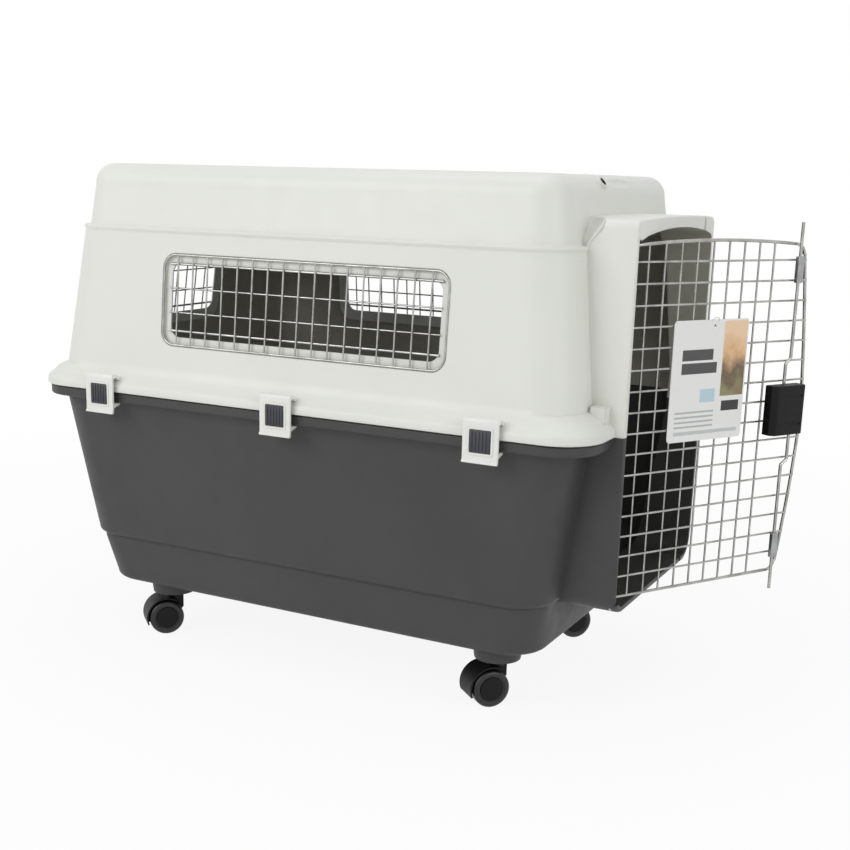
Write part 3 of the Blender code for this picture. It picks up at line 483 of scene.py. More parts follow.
def crown(half, full_half, base, rise):
    """A flat arch from one rounded corner to the other, without its ends."""
    places = (half * (1 - i / 8) for i in range(1, 16))
    return [(across, base + rise * (1 - (across / full_half) ** 2)) for across in places]


def mirrored(side, top=()):
    """A whole outline: its far side, what lies over it, and that side mirrored."""
    return [*side, *top, *((-across, up) for across, up in reversed(side))]


def doorway(name):
    """The doorway cut along X: sides that spread towards the seam under a flat arch."""
    low, high = OPENING_LOW_CORNER, OPENING_TOP_CORNER
    side = list(arc((OPENING_LOW_HALF - low, OPENING_BOTTOM_Z + low), low, -90, 0, 10))
    side.append((OPENING_SEAM_HALF, SEAM_Z))
    side += arc((OPENING_TOP_HALF - high, OPENING_SIDE_Z - high), high, 0, 72, 6)
    arch = crown(OPENING_TOP_HALF - high, OPENING_TOP_HALF, OPENING_SIDE_Z, OPENING_ARCH)
    start, end = PORTAL_BACK - OVERCUT, PORTAL_FRONT + OVERCUT
    return slab(mirrored(side, arch), "X", start, end, name)


def low_collar_outline(grow):
    corner = OPENING_LOW_CORNER + 0.0075
    centre = (PORTAL_LOW_HALF + grow - corner, PORTAL_BOTTOM_Z - grow + corner)
    side = list(arc(centre, corner, -90, 0, 10))
    side.append((PORTAL_HALF + grow, SEAM_Z - 0.0004))
    return mirrored(side)


def collar_run(outline_at, stations, name):
    """A collar skinned over outlines at (depth along X, growth) stations."""
    return skin_rings(
        [[(x, across, up) for across, up in outline_at(grow)] for x, grow in stations], name
    )


def keeper_slot(bottom, top):
    """The slot, open to the front, that takes the end of a latch bolt."""
    low = (KEEPER_BACK, KEEPER_Y - KEEPER_HALF, bottom)
    return block(low, (PORTAL_FRONT + OVERCUT, KEEPER_Y + KEEPER_HALF, top), "keeper")


def pin_hole(start, end):
    return rod((HINGE_X, HINGE_Y, start), (HINGE_X, HINGE_Y, end), PIN_HOLE, "pin_hole", 20)


def hinge_relief():
    """The cut along the doorway's near edge, where the wires of the wide-open door rest."""
    low = (-RELIEF_HALF, -OVERCUT, OPENING_BOTTOM_Z + 0.006)
    return block(low, (RELIEF_HALF, 0.030, OPENING_SIDE_Z), "hinge_relief")


def placed(spot, degrees, axis="Z"):
    """A frame that stands at a spot, turned about one axis."""
    return Matrix.Translation(spot) @ Matrix.Rotation(math.radians(degrees), 4, axis)


widest = placed((HINGE_X, HINGE_Y, 0.0), -DOOR_WIDEST_DEG)

base_tub = new_object("base_tub", shell_solid(base_levels, "base_tub"), grey_polypropylene)
low_collar_stations = (
    (PORTAL_BACK, 0.0), (0.372, 0.0), (0.4150, 0.0), (0.4176, -0.0006), (PORTAL_FRONT, -0.0022),
)
bosses = []
sockets = []
for x in (-CASTER_X, CASTER_X):
    for y in (-CASTER_Y, CASTER_Y):
        low, high = (x, y, BOSS_BOTTOM_Z), (x, y, BOSS_TOP_Z)
        bosses.append(rod(low, high, BOSS_RADIUS, "boss", 48, BOSS_ROOT_RADIUS))
        low, high = (x, y, BOSS_BOTTOM_Z - 0.012), (x, y, SOCKET_TOP_Z)
        sockets.append(rod(low, high, SOCKET_RADIUS, "socket", 24))
settle(
    base_tub,
    add(collar_run(low_collar_outline, low_collar_stations, "low_collar")),
    add(merged(bosses, "caster_bosses")),
    # The inner walls and the doorway's cut faces take the inner face's painted shade.
    cut(shell_solid(base_inside, "tub_inside"), grey_inside_painted_shade),
    cut(doorway("low_doorway"), grey_inside_painted_shade),
    cut(merged(sockets, "stem_sockets")),
    cut(keeper_slot(0.140, 0.170)),
    cut(pin_hole(0.167, 0.1462)),
    cut(hinge_relief(), matrix=widest),
)
seat(base_tub, "crate", "base", "base_shell")


# The top shell: one white polypropylene moulding dropped over the tub's flange. A skirt hides
# the seam, the walls lean in to a shallow ledge, and a rounded roof rises from it. Each long
# wall and the rear wall has a window recess, and the doorway's upper half ends in a hood.
PORTAL_TOP_Z = 0.622
HOOD_HALF = 0.1620
HOOD_CORNER = 0.010
HOOD_CROWN = 0.003
LEDGE_Z = 0.589
ROOF_Z = 0.672
ROOF_ROUND = 0.027
HOLLOW_X, HOLLOW_Y, HOLLOW_STRETCH = 0.3515, 0.1690, 1.8
BEAD_X, BEAD_RADIUS = 0.3572, 0.0018
FOOT_BACK, FOOT_FRONT = 0.380, 0.399
FOOT_IN, FOOT_OUT = 0.160, 0.184
FOOT_LOW_Z, FOOT_HIGH_Z = 0.378, 0.407
EDGE_X, EDGE_LEAN_DEG = 0.315, 39
RING_Y, RING_FOOT_RADIUS, RING_TOP_RADIUS, RING_HOLE_RADIUS = -0.0675, 0.0096, 0.0084, 0.0052
FINGER_OUT, FINGER_RADII = 0.0295, (0.0050, 0.046, 0.0085)
WINDOW_HEIGHT = 0.122
WINDOW_MIDDLE_X = 0.0045
WINDOW_MIDDLE_Z = 0.498
WINDOW_RECESS = 0.0050
WINDOW_RIM = 0.004
WINDOW_MARGIN = 0.0125
WINDOW_CORNER = 0.020
window_lengths = {"near": 0.424, "far": 0.424, "rear": 0.250}

# Warm white polypropylene: an even satin face, with a soft highlight along each rounded edge.
white_polypropylene = moulded_plastic(
    "white_polypropylene", "#e2e2dc", "#dedfd8", 0.42, 0.20, 0.0022
)
# The cover's inner face: painted shade, greyer and duller, as little light reaches it past the
# wires.
white_inside_painted_shade = moulded_plastic(
    "white_polypropylene_inner_face_painted_shade", "#b2b0a4", "#aaa89c", 0.60, 0.20, 0.002
)

skirt_level = (SEAM_Z, 0.262, -0.421, 0.407, 0.058)
foot_level = (0.4043, 0.2425, -0.397, 0.376, 0.055)
ledge_level = (LEDGE_Z, 0.2265, -0.3725, 0.358, 0.055)
roof_level = moved(ledge_level, 0.016, ROOF_Z - ROOF_ROUND - LEDGE_Z)

# The skirt's upright band and the slope over it, the wall, the ledge's bead, and the roof.
top_levels = follow(
    skirt_level, (0.0006, 0.0), (0.0, 0.0008), (0.0, 0.0085), (0.0010, 0.0108),
    (0.0045, 0.0140), (0.0095, 0.0180), (0.0140, 0.0228),
)
top_levels += follow(foot_level, (-0.0012, -0.0040), (0.0002, 0.0030))
top_levels += follow(
    ledge_level, (0.0002, -0.0052), (-0.0012, -0.0034), (-0.0016, -0.0014), (-0.0004, 0.0006),
    (0.0018, 0.0014), (0.0056, 0.0010), (0.0074, 0.0030),
)
top_levels += follow(roof_level, (-0.0004, -0.004))
top_levels += quarter_round(roof_level, ROOF_ROUND, 8)
top_inside = [(SEAM_Z - 0.003, 0.2395, -0.397, 0.371, 0.052)]
top_inside += follow(foot_level, (WALL, 0.0))
top_inside += follow(ledge_level, (WALL, -WALL), (WALL + 0.007, 0.0))
top_inside += quarter_round(roof_level, ROOF_ROUND - WALL, 5, WALL)


def high_collar_outline(grow):
    """The hood over the doorway: upright sides, rounded corners and a slightly crowned top."""
    top = PORTAL_TOP_Z + grow
    half = HOOD_HALF + grow
    side = [(PORTAL_HALF + grow, SEAM_Z)]
    side += arc((half - HOOD_CORNER, top - HOOD_CORNER), HOOD_CORNER, 0, 84, 10)
    return mirrored(side, crown(half - HOOD_CORNER, half, top, HOOD_CROWN))


def gentle(share):
    """A share from 0 to 1 that leaves and arrives level, as an S."""
    return share * share * (3 - 2 * share)


def around(steps):
    """The angles of a full turn in equal steps."""
    return [2 * math.pi * i / steps for i in range(steps)]


def shoulder_hollow(side):
    """A turned S that hollows the hood's rear corner, from the ledge up to the hood's top."""
    rise = PORTAL_TOP_Z - LEDGE_Z
    profile = [(0.0042, -0.0006)]
    for i in range(13):
        share = i / 12
        profile.append((0.0046 + 0.0190 * gentle(share), 0.0004 + rise * share))
    profile.append((0.0262, rise + 0.010))
    rings = []
    for radius, up in profile:
        wide = HOLLOW_STRETCH * radius
        rings.append([
            (HOLLOW_X + radius * math.cos(angle), side * HOLLOW_Y + wide * math.sin(angle),
             LEDGE_Z + up)
            for angle in around(40)
        ])
    return skin_rings(rings, "shoulder_hollow")


def shoulder_bead(side):
    """The ledge's rounded edge, carried up the S along the hood's side and into its top."""
    steps = 20
    path = []
    for i in range(steps + 1):
        share = i / steps
        up = LEDGE_Z - 0.0010 + (PORTAL_TOP_Z - LEDGE_Z - 0.0006) * share
        rounding = max(up - (PORTAL_TOP_Z - HOOD_CORNER), 0.0)
        out = HOOD_HALF + 0.0008 - HOOD_CORNER + math.sqrt(HOOD_CORNER**2 - rounding**2)
        path.append(Vector((BEAD_X + 0.0186 * gentle(share), side * out, up)))
    rings = []
    for i, point in enumerate(path):
        along = (path[min(i + 1, steps)] - path[max(i - 1, 0)]).normalized()
        across = along.cross(Vector((0.0, side, 0.0))).normalized()
        out = across.cross(along)
        thick = BEAD_RADIUS * (1.0 - 0.12 * max(i - 15, 0))
        rings.append([
            point + thick * (math.cos(angle) * across + math.sin(angle) * out)
            for angle in around(16)
        ])
    return skin_rings(rings, "shoulder_bead")


def window_place(side):
    """A window's own frame: X along the wall, Y out of it, Z up its slope."""
    wall = 2 if side == "rear" else 1
    foot, top, rise = foot_level[wall], ledge_level[wall], LEDGE_Z - foot_level[0]
    out = foot + (top - foot) * (WINDOW_MIDDLE_Z - foot_level[0]) / rise
    x, y, heading = {
        "near": (WINDOW_MIDDLE_X, -out, 180), "far": (WINDOW_MIDDLE_X, out, 0),
        "rear": (out, 0.0, 90),
    }[side]
    lean = Matrix.Rotation(math.atan2(abs(top - foot), rise), 4, "X")
    return placed((x, y, WINDOW_MIDDLE_Z), heading) @ lean


def rounded_plate(middle, halves, corner, start, end, name, steps=8):
    """A plate with rounded corners, run straight along Y."""
    (x, z), (wide, high) = middle, halves
    outline = rounded_rectangle(x - wide, x + wide, z - high, z + high, corner, steps)
    return slab(outline, "Y", start, end, name)


top_cover = new_object("top_cover", shell_solid(top_levels, "top_cover"), white_polypropylene)
high_collar_stations = (
    (PORTAL_BACK, 0.0), (0.4150, 0.0), (0.4176, -0.0006), (PORTAL_FRONT, -0.0018),
)
# The hood takes its two hollows before it joins the cover.
hood_mesh = collar_run(high_collar_outline, high_collar_stations, "hood")
hood = new_object("hood", hood_mesh, white_polypropylene)
hollows = merged([shoulder_hollow(-1), shoulder_hollow(1)], "shoulder_hollows")
hood_mesh = settle(hood, cut(hollows)).data.copy()
bpy.data.objects.remove(hood)
beads = merged([shoulder_bead(-1), shoulder_bead(1)], "shoulder_beads")
feet = [
    block((FOOT_BACK, low, FOOT_LOW_Z), (FOOT_FRONT, high, FOOT_HIGH_Z), "foot")
    for low, high in ((-FOOT_OUT, -FOOT_IN), (FOOT_IN, FOOT_OUT))
]
# On the roof's front edge: a raised ring with a hole through it, and a shallow finger hollow
# beside it.
edge_place = placed((EDGE_X, 0.0, ROOF_Z - ROOF_ROUND), -EDGE_LEAN_DEG, "Y")
low, high = (0.018, RING_Y, 0.0), (0.0302, RING_Y, 0.0)
ring = rod(low, high, RING_FOOT_RADIUS, "edge_ring", 40, RING_TOP_RADIUS)
low, high = (0.0215, RING_Y, 0.0), (0.032, RING_Y, 0.0)
hole = rod(low, high, RING_HOLE_RADIUS, "edge_hole")
hollow = bmesh.new()
bmesh.ops.create_uvsphere(hollow, u_segments=48, v_segments=24, radius=1.0)
hollow.transform(Matrix.Diagonal((*FINGER_RADII, 1.0)))
hollow.transform(Matrix.Translation((FINGER_OUT, 0.0, 0.0)))
cover_steps = [
    add(hood_mesh),
    add(beads),
    add(merged(feet, "hood_feet")),
    # The inner walls and the doorway's cut faces take the inner face's painted shade.
    cut(shell_solid(top_inside, "cover_inside"), white_inside_painted_shade),
    cut(doorway("high_doorway"), white_inside_painted_shade),
    add(ring, edge_place),
    # The hole's walls take the dark inner finish, painted shade that makes the hole read as deep.
    cut(hole, grey_inside_painted_shade, edge_place),
    cut(mesh_from(hollow, "finger_hollow"), matrix=edge_place),
]
for side, length in window_lengths.items():
    for kind, step, grow, corner, start, end in (
        ("pad", add, WINDOW_RIM, 0.024, -0.0070, -0.0015),
        ("recess", cut, 0.0, WINDOW_CORNER, -WINDOW_RECESS, 0.02),
        ("gap", cut, -WINDOW_MARGIN, 0.01375, -0.03, 0.03),
    ):
        halves = (length / 2 + grow, WINDOW_HEIGHT / 2 + grow)
        plate = rounded_plate((0.0, 0.0), halves, corner, start, end, f"{side}_{kind}")
        cover_steps.append(step(plate, matrix=window_place(side)))
cover_steps += [
    cut(keeper_slot(0.580, 0.632)),
    cut(pin_hole(0.593, 0.6168)),
    cut(hinge_relief(), matrix=widest),
]
settle(top_cover, *cover_steps)
seat(top_cover, "crate", "shell", "top_shell")


# The window grilles: bright plated steel wire, welded where the wires cross. A rounded frame
# wire lies in the recess, the uprights run down inside it and four longer wires tie them.
WINDOW_PITCH = 0.0234
WINDOW_WIRE = 0.0022
WINDOW_ROD = 0.0032
WINDOW_FRAME_WIRE = 0.0026
WINDOW_PLAY = 0.002
WELD_SINK = 0.0004
CLOUDS_PER_METRE = 55.0
DRAW_GRAINS_PER_METRE = 1200.0
window_cross_wires = (
    (0.0472, WINDOW_ROD), (0.0159, WINDOW_WIRE), (-0.0159, WINDOW_WIRE), (-0.0401, WINDOW_ROD),
)


def plated_wire(name, colour, shade, roughness):
    """Bright plating on drawn steel: clouded colour, gloss that follows it and a fine grain.

    The plating's clouds are 18 mm. Draw marks are under 0.1 mm; their grain is drawn at 0.8 mm,
    which is as fine as the picture shows.
    """
    made, tree, shader = new_material(name)
    shader.inputs["Metallic"].default_value = 1.0
    where = add_node(tree, "ShaderNodeTexCoord").outputs["Object"]
    cloud = noise(tree, where, CLOUDS_PER_METRE, 4.0)
    tone = tone_ramp(tree, cloud, (0.35, shade), (0.65, colour))
    gloss = ranged(tree, cloud, roughness + 0.10, roughness - 0.06)
    dress(tree, tone, gloss, noise(tree, where, DRAW_GRAINS_PER_METRE, 1.0), 0.15, 0.0001)
    return made


# Bright plated wire: each round wire shows a bright line and a dark one, softly clouded.
bright_wire = plated_wire("bright_plated_wire", "#b4b4b0", "#979793", 0.24)


def named_tree(name, **sockets):
    """A geometry tree with named inputs; returns it with its input and output nodes."""
    made = bpy.data.node_groups.new(name, "GeometryNodeTree")
    for label, kind in (("Geometry", "Geometry"), *sockets.items()):
        made.interface.new_socket(label, in_out="INPUT", socket_type=f"NodeSocket{kind}")
    made.interface.new_socket("Geometry", in_out="OUTPUT", socket_type="NodeSocketGeometry")
    return made, add_node(made, "NodeGroupInput"), add_node(made, "NodeGroupOutput")


def close_tree(tree, start, end, geometry):
    """Ends a tree: its copies made real, in the material that its Finish input names."""
    whole = add_node(tree, "GeometryNodeRealizeInstances", Geometry=geometry)
    finished = add_node(
        tree, "GeometryNodeSetMaterial", Geometry=whole.outputs["Geometry"],
        Material=start.outputs["Finish"],
    )
    tree.links.new(finished.outputs["Geometry"], end.inputs["Geometry"])


def run_tree(piece, tree, **inputs):
    """Sets a tree's inputs by their identifiers, then turns its result into a plain mesh."""
    step = piece.modifiers.new(tree.name, "NODES")
    step.node_group = tree
    for item in tree.interface.items_tree:
        if item.in_out == "INPUT" and item.name in inputs:
            step[item.identifier] = inputs[item.name]
    return settle(piece)


round_wires, start, end = named_tree(
    "round_wires_along_lines", Radius="Float", Sides="Int", Finish="Material"
)
lines = add_node(round_wires, "GeometryNodeMeshToCurve", Mesh=start.outputs["Geometry"])
section = add_node(
    round_wires, "GeometryNodeCurvePrimitiveCircle", Radius=start.outputs["Radius"],
    Resolution=start.outputs["Sides"],
)
drawn = add_node(
    round_wires, "GeometryNodeCurveToMesh", Curve=lines.outputs["Curve"],
    Profile_Curve=section.outputs["Curve"], Fill_Caps=True,
)
close_tree(round_wires, start, end, drawn.outputs["Mesh"])

spaced_copies, start, end = named_tree(
    "spaced_copies", Count="Int", Step="Vector", Finish="Material"
)
places = add_node(
    spaced_copies, "GeometryNodeMeshLine", Count=start.outputs["Count"],
    Offset=start.outputs["Step"],
)
copies = add_node(
    spaced_copies, "GeometryNodeInstanceOnPoints", Points=places.outputs["Mesh"],
    Instance=start.outputs["Geometry"],
)
close_tree(spaced_copies, start, end, copies.outputs["Instances"])


def wires(paths, diameter, material, name, sides=12):
    """Round wires along open or closed paths; a path whose ends meet makes a closed loop."""
    bm = bmesh.new()
    for points in paths:
        corners = [bm.verts.new(point) for point in points]
        for first, second in zip(corners, corners[1:]):
            bm.edges.new((first, second))
    made = new_object(name, mesh_from(bm, name), material)
    return run_tree(made, round_wires, Radius=diameter / 2, Sides=sides, Finish=material)


def join_pieces(pieces, name):
    """Several finished meshes of one finish as one piece."""
    material = pieces[0].data.materials[0]
    bm = bmesh.new()
    for piece in pieces:
        bm.from_mesh(piece.data)
        bpy.data.objects.remove(piece)
    for face in bm.faces:
        face.material_index = 0
    return new_object(name, plain_mesh(bm, name), material)


frame_out = -WINDOW_RECESS + 0.0004 + WINDOW_ROD + WINDOW_WIRE / 2 - WELD_SINK
for side, length in window_lengths.items():
    half, high = length / 2 - WINDOW_PLAY, WINDOW_HEIGHT / 2 - WINDOW_PLAY
    outline = rounded_rectangle(-half, half, -high, high, WINDOW_CORNER - WINDOW_PLAY, 10)
    rim = [(x, frame_out, z) for x, z in outline]
    parts = [wires([rim + rim[:1]], WINDOW_FRAME_WIRE, bright_wire, "rim", 14)]
    steps = int((half - 0.006) / WINDOW_PITCH)
    first_x = -steps * WINDOW_PITCH
    upright = wires(
        [[(first_x, frame_out, -high), (first_x, frame_out, high)]],
        WINDOW_WIRE, bright_wire, "upright",
    )
    pitch = (WINDOW_PITCH, 0.0, 0.0)
    parts.append(
        run_tree(upright, spaced_copies, Count=2 * steps + 1, Step=pitch, Finish=bright_wire)
    )
    reach = half - 0.009
    for z, size in window_cross_wires:
        back = frame_out - WINDOW_WIRE / 2 - size / 2 + WELD_SINK
        cross_wire = [(-reach, back, z), (reach, back, z)]
        parts.append(wires([cross_wire], size, bright_wire, "cross_wire"))
    grille = join_pieces(parts, f"{side}_window_wires")
    seat(grille, "crate", "wire", f"{side}_window_grille", place=window_place(side))


# The door: one welded panel of the same bright wire in a heavier frame wire. It swings on the
# frame's own ends, which reach into holes in the two collars, and it stands a third open.
DOOR_OPEN_DEG = 31.4
DOOR_BOTTOM_Z = 0.167
DOOR_TOP_Z = 0.5930
DOOR_TOP_REACH = 0.2800
DOOR_REACH = 0.3005
DOOR_LOW_REACH = 0.2770
DOOR_BEND, DOOR_CROWN = 0.012, 0.0060
FRAME_WIRE = 0.0042
PIN_WIRE = 0.0046
PIN_OVERLAP, PIN_REACH = 0.01, 0.0165
GRID_WIRE = 0.0026
MESH_PITCH = 0.0254
UPRIGHTS, FIRST_UPRIGHT = 9, 0.0245
CROSS_WIRES, TOP_CROSS_WIRE_Z = 16, 0.5745
door_place = placed((HINGE_X, HINGE_Y, 0.0), -DOOR_OPEN_DEG)


def free_edge(z):
    """How far the door's free edge stands from its hinge at a height; it bows at the seam."""
    if z >= SEAM_Z:
        end_z, end_reach = DOOR_TOP_Z, DOOR_TOP_REACH
    else:
        end_z, end_reach = DOOR_BOTTOM_Z, DOOR_LOW_REACH
    share = (z - SEAM_Z) / (end_z - SEAM_Z)
    return DOOR_REACH + (end_reach - DOOR_REACH) * share**1.5


def door_crown(across):
    """The height of the door's top wire at a distance from the hinge."""
    return DOOR_TOP_Z + DOOR_CROWN * (1 - (2 * across / DOOR_TOP_REACH - 1) ** 2)


frame_path = [(0.0, 0.0, DOOR_BOTTOM_Z), (0.0, 0.0, DOOR_TOP_Z)]
for i in range(1, 17):
    across = (DOOR_TOP_REACH - DOOR_BEND) * i / 16
    frame_path.append((0.0, across, door_crown(across)))
bend_at = (DOOR_TOP_REACH - DOOR_BEND, DOOR_TOP_Z - DOOR_BEND)
frame_path += [(0.0, y, z) for y, z in arc(bend_at, DOOR_BEND, 80, 5, 5)]
for i in range(25):
    z = DOOR_TOP_Z - DOOR_BEND + (DOOR_BOTTOM_Z - DOOR_TOP_Z + 2 * DOOR_BEND) * i / 24
    frame_path.append((0.0, free_edge(z), z))
bend_at = (DOOR_LOW_REACH - DOOR_BEND, DOOR_BOTTOM_Z + DOOR_BEND)
frame_path += [(0.0, y, z) for y, z in arc(bend_at, DOOR_BEND, -5, -90, 6)]
pins = [
    [(0.0, 0.0, DOOR_TOP_Z - PIN_OVERLAP), (0.0, 0.0, DOOR_TOP_Z + PIN_REACH)],
    [(0.0, 0.0, DOOR_BOTTOM_Z + PIN_OVERLAP), (0.0, 0.0, DOOR_BOTTOM_Z - PIN_REACH)],
]
grid = []
for i in range(UPRIGHTS):
    across = FIRST_UPRIGHT + i * MESH_PITCH
    grid.append([(0.0, across, DOOR_BOTTOM_Z), (0.0, across, door_crown(across))])
outer_layer = GRID_WIRE - WELD_SINK
for i in range(CROSS_WIRES):
    z = TOP_CROSS_WIRE_Z - i * MESH_PITCH
    grid.append([(outer_layer, 0.0, z), (outer_layer, free_edge(z), z)])
parts = [
    wires([frame_path + frame_path[:1]], FRAME_WIRE, bright_wire, "door_frame", 16),
    wires(pins, PIN_WIRE, bright_wire, "hinge_pins", 16),
    wires(grid, GRID_WIRE, bright_wire, "door_grid"),
]
seat(join_pieces(parts, "door_wires"), "door", "wire", "door_grille", place=door_place)


# The pinch latch: a closed black nylon box on the outer face of the grid, two cranked wire
# bolts that its hidden springs push apart, and two folded steel strips that guide the bolts.
GRID_FACE = GRID_WIRE * 1.5
ROD_WIRE = 0.0042
ROD_LAYER = GRID_FACE + ROD_WIRE / 2 + 0.0008
CHANNEL_HALF = ROD_WIRE / 2 + 0.0004
CRANK_REACH = 0.0045
UPPER_BOLT_IN, LOWER_BOLT_IN = 0.2585, 0.2760
BOX_BACK, BOX_FRONT = GRID_FACE + 0.0004, GRID_FACE + 0.0184
BOX_NEAR, BOX_FAR = 0.2285, 0.2835
BOX_LOW_Z, BOX_HIGH_Z = 0.3542, 0.4182
BOX_SLOPE = 0.006
BOX_EASE = 0.0024
STRIP_BACK, STRIP_FRONT = GRID_FACE + 0.0002, ROD_LAYER + ROD_WIRE / 2 + 0.0014
STRIP_HALF_WIDTH, STRIP_HALF_HEIGHT = 0.00525, 0.0165
# Black nylon: nearly black, with a faint sheen off its grained face.
black_nylon = moulded_plastic(
    "black_nylon", "#0e0e0e", "#0b0b0b", 0.46, 0.35, 0.001, specular=0.2
)
# Zinc-plated strip: bluer and duller than the wire, so the folded guides stand apart from it.
zinc_steel = plated_wire("zinc_plated_steel_strip", "#a9abac", "#8f9192", 0.36)


def soften(piece, width, segments):
    """Rounds a piece's edges. It comes before the piece's Boolean steps."""
    step = piece.modifiers.new("rounded edges", "BEVEL")
    step.width = width
    step.segments = segments
    return step


def bolt_run(place, low, high):
    """The straight hollow that a bolt slides in."""
    corner = (GRID_FACE - OVERCUT, place - CHANNEL_HALF, low)
    return block(corner, (ROD_LAYER + CHANNEL_HALF, place + CHANNEL_HALF, high), "bolt_run")


plan = [
    (BOX_BACK, BOX_NEAR), (BOX_FRONT - BOX_SLOPE, BOX_NEAR), (BOX_FRONT, BOX_NEAR + BOX_SLOPE),
    (BOX_FRONT, BOX_FAR - BOX_EASE), (BOX_FRONT - BOX_EASE, BOX_FAR), (BOX_BACK, BOX_FAR),
]
box_rings = [[(x, y, z) for x, y in plan] for z in (BOX_LOW_Z, BOX_HIGH_Z)]
latch_box = new_object("latch_box", skin_rings(box_rings, "latch_box"), black_nylon)
soften(latch_box, 0.0014, 3)
runs = [
    bolt_run(UPPER_BOLT_IN, BOX_HIGH_Z - 0.033, BOX_HIGH_Z + OVERCUT),
    bolt_run(LOWER_BOLT_IN, BOX_LOW_Z - OVERCUT, BOX_LOW_Z + 0.033),
]
steps = [cut(merged(runs, "bolt_runs"))]
# A finger groove runs across the face near the top, and one near the bottom.
for z in (BOX_LOW_Z + 0.014, BOX_HIGH_Z - 0.014):
    ends = [(BOX_FRONT + 0.0012, y, z) for y in (BOX_NEAR + 0.010, BOX_FAR - 0.006)]
    steps.append(cut(rod(*ends, 0.0022, "groove", 16)))
settle(latch_box, *steps)
seat(latch_box, "door", "latch", "latch_housing", place=door_place)


def bolt_path(inner, start, crank, end):
    """A straight run from the box, a smooth sidestep at the crank, and a second straight run."""
    ahead = CRANK_REACH if end > start else -CRANK_REACH
    points = [(ROD_LAYER, inner, start), (ROD_LAYER, inner, crank - 1.2 * ahead)]
    for i in range(1, 10):
        share = i / 10
        place = inner + (ROD_PLACE - inner) * gentle(share)
        points.append((ROD_LAYER, place, crank - ahead * (1 - 2 * share)))
    points += [(ROD_LAYER, ROD_PLACE, crank + 1.2 * ahead), (ROD_LAYER, ROD_PLACE, end)]
    return points


for name, path in (
    ("upper", bolt_path(UPPER_BOLT_IN, BOX_HIGH_Z - 0.010, 0.4475, 0.6210)),
    ("lower", bolt_path(LOWER_BOLT_IN, BOX_LOW_Z + 0.010, 0.3150, 0.1430)),
):
    bolt = wires([path], ROD_WIRE, bright_wire, f"{name}_bolt", 16)
    seat(bolt, f"{name}_rod", "wire", f"{name}_latch_rod", place=door_place)

for name, z in (("upper", 0.5625), ("lower", 0.2030)):
    low = (STRIP_BACK, ROD_PLACE - STRIP_HALF_WIDTH, z - STRIP_HALF_HEIGHT)
    high = (STRIP_FRONT, ROD_PLACE + STRIP_HALF_WIDTH, z + STRIP_HALF_HEIGHT)
    strip = new_object(f"{name}_guide_strip", block(low, high, "strip"), zinc_steel)
    soften(strip, 0.0011, 3)
    settle(strip, cut(bolt_run(ROD_PLACE, z - 0.03, z + 0.03)))
    seat(strip, "door", "zinc", f"{name}_rod_guide", place=door_place)


# The hang tag: a coated card with rounded corners, hung on the grid by a white nylon loop.
# Its print is left as plain colour blocks.
TAG_LEFT, TAG_RIGHT, TAG_TOP, TAG_BOTTOM = 0.0676, 0.1896, 0.5045, 0.3555
TAG_BACK, TAG_FRONT = GRID_FACE + 0.0004, GRID_FACE + 0.0013
TAG_HOLE_Y, TAG_HOLE_Z = 0.1330, 0.4965
LOOP_Z, LOOP_RADIUS = 0.5010, 0.0062
# Counted over the card: clouds of 20 to 25 mm, as in a soft picture, and paper fibres of
# about 0.5 mm, drawn coarser than the real 0.05 mm.
PICTURE_CLOUDS, FIBRES = 6.0, 260.0
HIGHEST = 1.3
picture_tones = ((0.62, "#8f8a62"), (0.78, "#6d5b45"), (0.98, "#e2b98c"), (1.2, "#f1cfae"))
print_blocks = (
    (0.13, 0.54, 0.67, 0.76, "#4a4a4a"), (0.13, 0.60, 0.56, 0.65, "#4a4a4a"),
    (0.40, 0.60, 0.32, 0.43, "#bcd3dd"), (0.70, 0.94, 0.235, 0.32, "#2c2c2c"),
    *((0.08, 0.60, low, low + 0.015, "#b4b6b6") for low in (0.235, 0.195, 0.155, 0.115)),
    (0.08, 0.94, 0.055, 0.085, "#c6c8c8"),
)

# Coated card: a smooth half-gloss sheet, whose light lies over the print.
coated_card = new_material("coated_card")[0]
tree = coated_card.node_tree
outline = rounded_rectangle(TAG_LEFT, TAG_RIGHT, TAG_BOTTOM, TAG_TOP, 0.005)
sheet = slab(outline, "X", TAG_BACK, TAG_FRONT, "hang_tag_card")
card = new_object("hang_tag_card", sheet, coated_card)
ends = [(x, TAG_HOLE_Y, TAG_HOLE_Z) for x in (TAG_BACK - 0.002, TAG_BACK + 0.004)]
settle(card, cut(rod(*ends, 0.0022, "tag_hole", 20)))
layout = card.data.uv_layers.new(name="print")
for loop in card.data.loops:
    spot = card.data.vertices[loop.vertex_index].co
    layout.data[loop.index].uv = (
        (spot.y - TAG_LEFT) / (TAG_RIGHT - TAG_LEFT),
        (spot.z - TAG_BOTTOM) / (TAG_TOP - TAG_BOTTOM),
    )

printed_side = add_node(tree, "ShaderNodeUVMap", {"uv_map": "print"}).outputs["UV"]
axes = add_node(tree, "ShaderNodeSeparateXYZ", Vector=printed_side)


def within(axis, low, high):
    """1 where the print's place along an axis lies between low and high."""
    return maths(tree, "COMPARE", axes.outputs[axis], (low + high) / 2, (high - low) / 2)


def print_block(under, left, right, bottom, top, colour):
    """Lays a block of colour over what is printed under it; colour is a value or a socket."""
    inside = maths(tree, "MULTIPLY", within("X", left, right), within("Y", bottom, top))
    lay = add_node(tree, "ShaderNodeMix", {"data_type": "RGBA"}, Factor=inside)
    # Names repeat on this node, so its two colours and its result go by number.
    put(tree, lay.inputs[6], under)
    put(tree, lay.inputs[7], colour)
    return lay.outputs[2]


